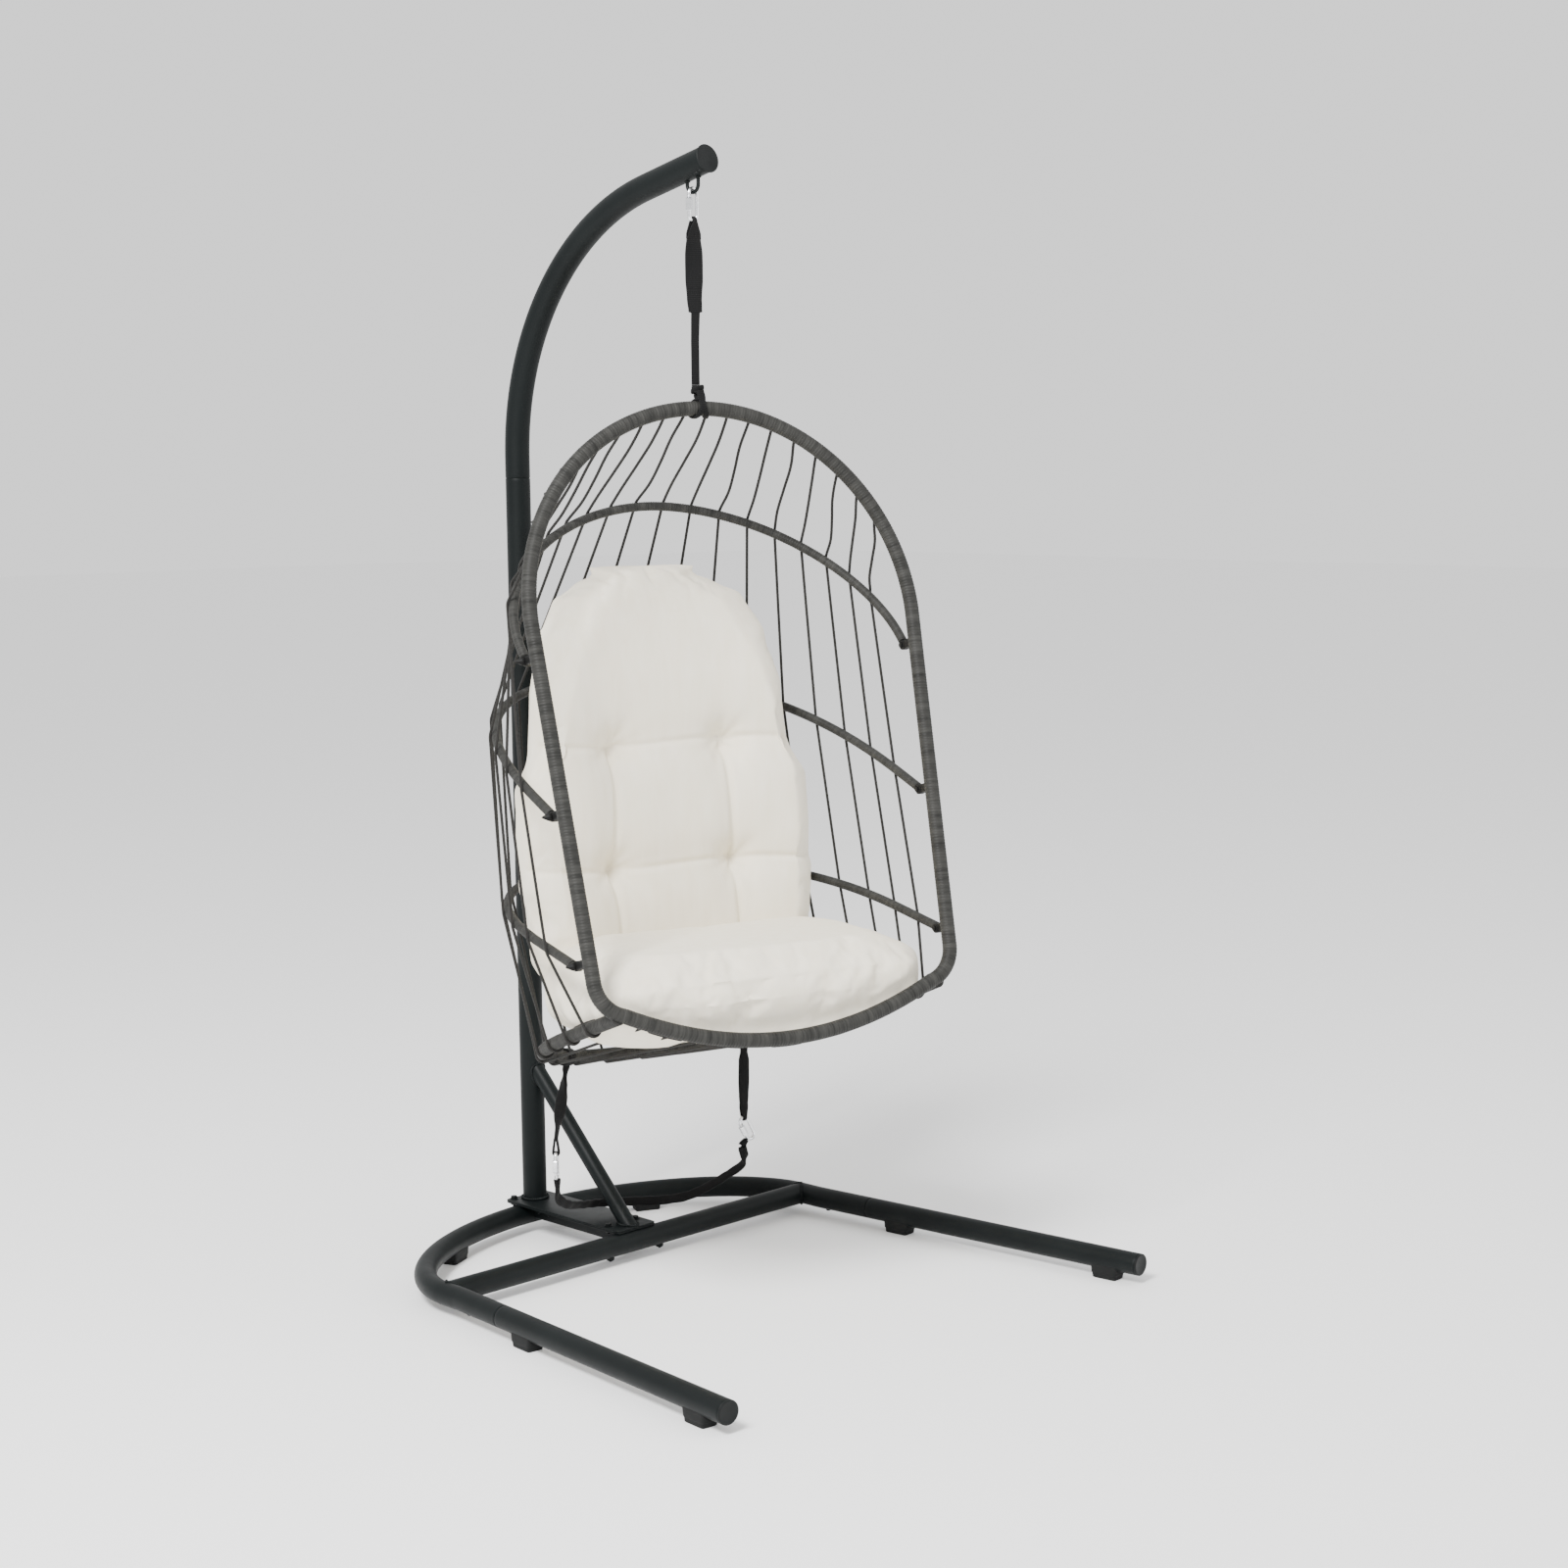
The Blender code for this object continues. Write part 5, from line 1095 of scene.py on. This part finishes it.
def make_frame(wicker):
    """The rim, the three hoops and the seat frame, each wound with strip."""
    lean = (0, math.cos(RIM_LEAN), -math.sin(RIM_LEAN))
    half = rim_half()
    outline = half + [(-w, down) for w, down in reversed(half[1:-1])]
    path = resample([rim_point(w, down) for w, down in outline], 0.00072, closed=True)
    length = distances(np.vstack([path, path[:1]]))[-1]
    wound_bar("rim", path, RIM_R, 26, length / round(length / RIM_WRAP), lean, wicker, closed=True)
    for name, hoop in HOOPS.items():
        side = (0, -math.sin(hoop["tilt"]), math.cos(hoop["tilt"]))
        path = resample(mirrored(hoop_half(hoop)), 0.00075)
        wound_bar(name, path, HOOP_R, 18, HOOP_WRAP, side, wicker)
    side = (0, -math.sin(SEAT_TILT), math.cos(SEAT_TILT))
    path = resample(mirrored(seat_half()), 0.00075)
    wound_bar("seat_frame", path, SEAT_R, 24, RIM_WRAP, side, wicker)


def make_clamps(fitting):
    """At each hoop's end: a moulded tongue on the rim, its bolt and the pointed knob."""
    back = Vector((0, math.cos(RIM_LEAN), -math.sin(RIM_LEAN)))
    for name, hoop in HOOPS.items():
        z = hoop["bolt_z"]
        for side, sign in (("left", -1), ("right", 1)):
            w = sign * (rim_side_w(z) + hoop["half"]) / 2
            bolt = Vector((w, rim_a(z) + HOOP_BOLT_BACK, z))
            shape = Shape()
            start = bolt - back * (HOOP_BOLT_BACK * math.cos(RIM_LEAN) - RIM_R * 0.8)
            path = resample([start, bolt], 0.002)
            shape.sweep(path, rounded(TONGUE_WIDTH, TONGUE_HEIGHT, 5.0, 32), side=(1, 0, 0))
            shape.lathe([(0.0060, -0.0062), (0.0082, -0.0056), (0.0086, -0.0045), (0.0086, 0.0045),
                         (0.0082, 0.0056), (0.0060, 0.0062)], bolt, (sign, 0, 0), sides=36)
            hex_head(shape, bolt - Vector((sign * 0.0060, 0, 0)), (-sign, 0, 0), 0.0050, 0.0034)
            shape.lathe([(0.0052, 0.0060), (0.0070, 0.0066), (0.0074, 0.0085), (0.0064, 0.0115),
                         (0.0044, 0.0150), (0.0026, 0.0190), (0.0010, 0.0218)],
                        bolt, (sign, 0, 0), sides=48, lobes=6, dip=0.10)
            shape.build(f"{name}_clamp_{side}", "moulded", fitting, "basket", "fitting", TO_WORLD, sharp=40)


# ---- ropes -----------------------------------------------
def along(path, distance):
    for start, end in zip(path, path[1:]):
        length = (end - start).length
        if distance <= length:
            return start.lerp(end, distance / length), (end - start).normalized()
        distance -= length
    return path[-1], (path[-1] - path[-2]).normalized()


def rim_anchor(k, sign):
    t = 0.056 + 0.108 * k + 0.0028 * k * k
    point = rim_point(sign * RIM_ARCH_R * math.sin(t), RIM_ARCH_R * (1 - math.cos(t)))
    ahead = rim_point(sign * RIM_ARCH_R * math.sin(t + 0.01), RIM_ARCH_R * (1 - math.cos(t + 0.01)))
    return point, (ahead - point).normalized()


def hoop_anchor(name, k, sign):
    path = [Vector((p.x * sign, p.y, p.z)) for p in hoop_half(HOOPS[name])]
    return along(path, (k + 0.5) * HOOPS[name]["rope_step"])


def seat_anchor(k, sign):
    path = [Vector((p.x * sign, p.y, p.z)) for p in seat_half()]
    return along(path, (k + 0.5) * SEAT_ROPE_STEP)


def rim_tuck(k, sign):
    """Strand k's end: tucked under the wicker behind the rim, then round to its inner side."""
    centre, tangent = rim_anchor(k, sign)
    back = Vector((0, math.cos(RIM_LEAN), -math.sin(RIM_LEAN)))
    first = (back - tangent * back.dot(tangent)).normalized()
    points = []
    for degrees, reach in ((70, RIM_R - 0.003), (45, RIM_R + ROPE_R * 0.6), (20, RIM_R + ROPE_R),
                           (-5, RIM_R + ROPE_R)):
        spin = Matrix.Rotation(sign * math.radians(degrees), 3, tangent)
        points.append(centre + spin @ first * reach)
    return points, centre


def strand_down(k, sign):
    """Strand k from the rim, over the outside of the three hoops, towards the seat frame."""
    points, centre = rim_tuck(k, sign)
    spots = [centre] + [hoop_anchor(name, k, sign)[0] for name in HOOPS] + [seat_anchor(k, sign)[0]]
    for i, name in enumerate(HOOPS, start=1):
        direction = hoop_anchor(name, k, sign)[1]
        arriving = (spots[i] - spots[i - 1]).normalized()
        leaving = (spots[i + 1] - spots[i]).normalized()
        outward = (arriving + leaving).cross(direction).normalized() * -sign
        over = HOOP_R + ROPE_R
        point = spots[i] + outward * over
        if i == 1:
            start = points[-1]
            sway = ROPE_SWAY * math.sin(1.7 * k + sign)
            for share, bend in ((0.25, 0.9), (0.5, -0.2), (0.75, -1.0)):
                sag = ROPE_SAG * 4 * share * (1 - share)
                points.append(start.lerp(point, share) + Vector((sway * bend, 0, -sag)))
        slope = (leaving + arriving).normalized()
        points += [point - slope * 0.004, point + slope * 0.004]
    return points


def seat_wrap(k, sign, turns):
    """Points round the seat frame at strand k; 0 degrees is outward, 90 is straight down."""
    spot, direction = seat_anchor(k, sign)
    outward = (Vector((0, 0, 1)).cross(direction) * sign).normalized()
    down = direction.cross(outward).normalized()
    if down.z > 0:
        down = -down
    reach = SEAT_R + ROPE_R
    return [spot + (outward * math.cos(math.radians(d)) + down * math.sin(math.radians(d))) * reach
            for d in turns]


def front_bar(w):
    below = [point for point in rim_half() if point[1] > RIM_SIDE_END]
    for (w0, down0), (w1, down1) in zip(below, below[1:]):
        if w1 <= abs(w) <= w0:
            share = (abs(w) - w1) / max(w0 - w1, 1e-9)
            return rim_point(w, down1 + (down0 - down1) * share)
    return rim_point(w, below[0][1])


def front_wrap(w, turns):
    """Points behind and under the rim's lower bar; 0 degrees is straight down."""
    reach = RIM_R + ROPE_R
    return [front_bar(w) + Vector((0, -math.sin(math.radians(d)), -math.cos(math.radians(d)))) * reach
            for d in turns]


def side_rope(k, sign):
    """Two side strands that share one turn round the seat frame."""
    turn = seat_wrap(k, sign, range(0, 241, 20))
    back = seat_wrap(k - 1, sign, range(240, -1, -20))
    return strand_down(k, sign) + turn + back + strand_down(k - 1, sign)[::-1]


def seat_rope(k, sign, other, other_sign):
    """Two back strands that run on under the seat to the rim's lower bar."""
    w_first = sign * (k + 0.5) * FRONT_ROPE_STEP
    w_second = other_sign * (other + 0.5) * FRONT_ROPE_STEP
    return (strand_down(k, sign) + seat_wrap(k, sign, range(0, 91, 22))
            + front_wrap(w_first, (-70, -50, -30)) + front_wrap(w_second, (-30, -50, -70))
            + seat_wrap(other, other_sign, range(88, -1, -22)) + strand_down(other, other_sign)[::-1])


def twisted(s, turn):
    """Relief of a three-strand cord."""
    return 0.94 + 0.10 * np.abs(np.cos(1.5 * (2 * math.pi * turn) - math.pi * 3 * s / ROPE_LAY))


def make_ropes(cord_finish):
    routes = {"rope_back_middle": seat_rope(0, -1, 0, 1)}
    for side, sign in (("left", -1), ("right", 1)):
        routes["rope_side_front_" + side] = side_rope(8, sign)
        routes["rope_side_rear_" + side] = side_rope(6, sign)
        routes["rope_back_outer_" + side] = seat_rope(4, sign, 3, sign)
        routes["rope_back_inner_" + side] = seat_rope(2, sign, 1, sign)
    for name, route in routes.items():
        shape = Shape().sweep(smooth(route, 0.0022), ring(ROPE_R, 12), relief=twisted)
        shape.build(name, "twisted", cord_finish, "basket", "rope", TO_WORLD, sharp=80)


# ==========================================================
# cushions
# ==========================================================
def pillow_back():
    """The back cushion's shape before it swells: BACK_OUTLINE's rows as rounded rings."""
    foot, head = Vector(BACK_FOOT), Vector(BACK_HEAD)
    length = (head - foot).length
    lean = (head - foot).normalized()
    normal = Vector((lean.y, -lean.x))
    table = np.array(BACK_OUTLINE)
    rings = []
    for share in np.concatenate([[0.004], np.linspace(0.02, 1.0, 50), [1.018, 1.024]]):
        half, front, back = (np.interp(share, table[:, 0], table[:, k]) for k in (1, 2, 3))
        half += BACK_EASE
        row = []
        for t in round_turn(72):
            c, s = math.cos(t), math.sin(t)
            x = math.copysign(abs(c) ** 0.45, c) * half
            puff = math.copysign(abs(s) ** 0.62, s)
            middle = (front + back) / 2 - BACK_BOW * x * x * 0.55
            thick = max((back - front) / 2 - 0.012, 0.006)
            offset = middle + puff * thick
            spot = foot + lean * (share * length) + normal * offset
            row.append((x, spot.x, spot.y))
        rings.append(row)
    return np.array(rings)


def pillow_seat():
    """The seat cushion's starting shape: a boxed pad over the strands."""
    rings = []
    front_a = front_bar(0).y
    for a in np.linspace(PAD_FRONT, PAD_BACK, 44):
        share = (a - PAD_FRONT) / (PAD_BACK - PAD_FRONT)
        rise = 0.5 - 0.5 * math.cos(min(1.0, share / 0.16) * math.pi)
        half = (PAD_FRONT_HALF + (PAD_HALF - PAD_FRONT_HALF) * min(1.0, share / 0.14) ** 0.6
                - 0.045 * max(0.0, (share - 0.75) / 0.25) ** 1.5)
        top = PAD_TOP - 0.024 * (1 - rise) - 0.004 * share
        reach = max(0.0, a - front_a)
        slope = -0.36 * max(0.0, reach - 0.02) if rise > 0.4 else 0.03 * (1 - rise)
        low = max(PAD_UNDER_FRONT + slope, PAD_UNDER_BACK)
        row = []
        for t in round_turn(72):
            c, s = math.cos(t), math.sin(t)
            x = math.copysign(abs(c) ** 0.35, c) * half
            y = math.copysign(abs(s) ** 0.45, s)
            z = (top + low) / 2 + y * (top - low) / 2
            pull = 0.030 * (abs(x) / 0.31) ** 2.5 * (1 - share)
            row.append((x, a + pull, z))
        rings.append(row)
    return np.array(rings)


def soft_piece(name, rings, fabric, voxel, cap, pressure):
    """Turns a closed starting shape into a swollen cushion by cloth simulation."""
    shape = Shape().grid(rings)
    mesh = bpy.data.meshes.new(name)
    mesh.from_pydata(np.vstack(shape.points).tolist(), [], shape.faces)
    mesh.materials.append(fabric)
    item = bpy.data.objects.new(name, mesh)
    bpy.context.scene.collection.objects.link(item)
    apply_modifier(item, "REMESH", mode="VOXEL", voxel_size=voxel)
    swell(item, cap, pressure)
    smooth_over = item.modifiers.new("ease", "SMOOTH")
    smooth_over.factor = 0.5
    smooth_over.iterations = 3
    bake(item)
    return item


def bake(item):
    """Replaces an object's mesh by the one its modifiers make."""
    depsgraph = bpy.context.evaluated_depsgraph_get()
    made = bpy.data.meshes.new_from_object(item.evaluated_get(depsgraph))
    item.modifiers.clear()
    item.data = made


def apply_modifier(item, kind, **values):
    modifier = item.modifiers.new(kind.lower(), kind)
    for key, value in values.items():
        setattr(modifier, key, value)
    bake(item)


def swell(item, cap, pressure):
    """Blows a closed pillow up as cloth, no point moving further than cap."""
    start = np.array([v.co for v in item.data.vertices])
    cloth = item.modifiers.new("cloth", "CLOTH")
    cloth.settings.quality = 5
    cloth.settings.use_pressure = True
    cloth.settings.uniform_pressure_force = pressure
    cloth.settings.effector_weights.gravity = 0
    cloth.settings.tension_stiffness = 12
    cloth.settings.compression_stiffness = 12
    cloth.settings.bending_stiffness = 0.4
    cloth.point_cache.frame_start = 1
    cloth.point_cache.frame_end = CLOTH_FRAMES
    for number in range(1, CLOTH_FRAMES + 1):
        bpy.context.scene.frame_set(number)
    bake(item)
    bpy.context.scene.frame_set(1)
    moved = np.array([v.co for v in item.data.vertices]) - start
    far = np.linalg.norm(moved, axis=1, keepdims=True)
    held = start + moved * np.minimum(1, cap / np.maximum(far, 1e-9))
    item.data.vertices.foreach_set("co", held.ravel())
    item.data.update()


def move_points(item, change):
    """Moves every vertex of a mesh by what change(points, normals) gives."""
    mesh = item.data
    points = np.empty(len(mesh.vertices) * 3)
    mesh.vertices.foreach_get("co", points)
    points = points.reshape(-1, 3)
    normals = np.array([v.normal for v in mesh.vertices])
    mesh.vertices.foreach_set("co", (points + change(points, normals)).ravel())
    mesh.update()


def groove(distance, width):
    return np.exp(-(distance / width) ** 2)


def tuft_back(points, normals):
    """Pulls in the four tufts and sews the channels between them."""
    w, a, z = points.T
    front = np.clip(-normals[:, 1] * 1.6, 0, 1)
    depth = np.zeros(len(points))
    for row_w, row_z in TUFTS:
        for sign in (-1, 1):
            dx, dz = w - sign * row_w, z - row_z
            far = np.hypot(dx, dz)
            angle = np.arctan2(dz, dx)
            depth += 0.020 * groove(far, 0.030) + 0.011 * groove(far, 0.070)
            depth += 0.0024 * np.cos(7 * angle + sign) * np.exp(-far / 0.045) * np.clip(far / 0.012, 0, 1)
        wave = row_z + 0.004 * np.sin(w * 16)
        depth += 0.0050 * groove(z - wave, 0.0060) + 0.0080 * groove(z - wave, 0.034)
    top_z, low_z = TUFTS[0][1], TUFTS[1][1]
    for sign in (-1, 1):
        share = np.clip((z - low_z) / (top_z - low_z), -1.2, 1)
        line = sign * (TUFTS[1][0] + (TUFTS[0][0] - TUFTS[1][0]) * np.clip(share, 0, 1))
        inside = np.clip((top_z + 0.004 - z) / 0.02, 0, 1)
        depth += inside * (0.0075 * groove(w - line, 0.0060) + 0.0075 * groove(w - line, 0.032))
    return normals * (-depth * front)[:, None]


def crease(scale, size, seed):
    """Small soft creases from a few fixed waves."""
    def change(points, normals):
        turns = np.array(((1.0, 0.35, 0.2), (0.3, 0.6, 1.1), (-0.8, 0.5, 0.7), (0.55, -0.9, 0.45)))
        total = np.zeros(len(points))
        for i, direction in enumerate(turns):
            phase = points @ direction * scale * (1 + 0.37 * i) + seed * (i + 1)
            total += np.sin(phase + 1.3 * np.sin(points @ turns[(i + 1) % 4] * scale * 0.6))
        return normals * (total * size / len(turns))[:, None]
    return change


def finish_cushion(item, node):
    item.data.transform(TO_WORLD)
    item.data.shade_smooth()
    settle(item, "basket", [node])


def make_cushions(fabric):
    back = soft_piece("back_cushion_pillow", pillow_back(), fabric, 0.006, 0.024, 4.0)
    apply_modifier(back, "SUBSURF", levels=1, render_levels=1)
    move_points(back, tuft_back)
    move_points(back, crease(24.0, 0.0016, 1.7))
    finish_cushion(back, "back_cushion")
    seat = soft_piece("seat_cushion_pad", pillow_seat(), fabric, 0.006, 0.018, 3.0)
    apply_modifier(seat, "SUBSURF", levels=1, render_levels=1)
    move_points(seat, crease(18.0, 0.0009, 0.6))
    finish_cushion(seat, "seat_cushion")


# ==========================================================
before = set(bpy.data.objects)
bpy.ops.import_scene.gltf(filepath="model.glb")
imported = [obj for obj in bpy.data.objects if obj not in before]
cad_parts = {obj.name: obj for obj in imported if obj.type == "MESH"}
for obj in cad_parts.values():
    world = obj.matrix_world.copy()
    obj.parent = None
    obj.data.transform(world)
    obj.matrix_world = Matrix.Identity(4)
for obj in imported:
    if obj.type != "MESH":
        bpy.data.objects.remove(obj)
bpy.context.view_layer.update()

make_camera()
web = webbing_finish()
make_safety_strap(web)
make_studio()

paint = paint_finish()
cap_plastic = plastic_finish("cap_plastic", (0.0070, 0.0080, 0.0080), 0.46, 520.0)
foot_rubber = plastic_finish("foot_rubber", (0.0080, 0.0085, 0.0085), 0.62, 380.0)
black_fitting = plastic_finish("fitting", (0.0060, 0.0060, 0.0058), 0.50, 460.0)
bolt_paint = plastic_finish("bolt_black", (0.0055, 0.0065, 0.0065), 0.40, 300.0)
zinc_plate = zinc_finish()
wicker_strip = wicker_finish()

make_base(paint, cap_plastic, foot_rubber)
make_mast(paint, cap_plastic, make_plates(paint, bolt_paint))
make_link("top_link", TOP_LINK_LENGTH, link_matrix((0, HANG_Y, LINK_TOP_Z)), zinc_plate, "top_link_body")
make_hang_strap(web)
make_hitch(web)
make_frame(wicker_strip)
make_clamps(black_fitting)
make_ropes(rope_finish())
for side_name, tie_data in LOWER_TIES.items():
    bow_at = lower_strap(side_name, tie_data, web)
    make_link("lower_link_" + side_name, LOWER_LINK_LENGTH,
              TO_WORLD @ link_matrix(bow_at, tie_data["tilt"], tie_data["turn"]), zinc_plate, "tether")
make_cushions(fabric_finish())
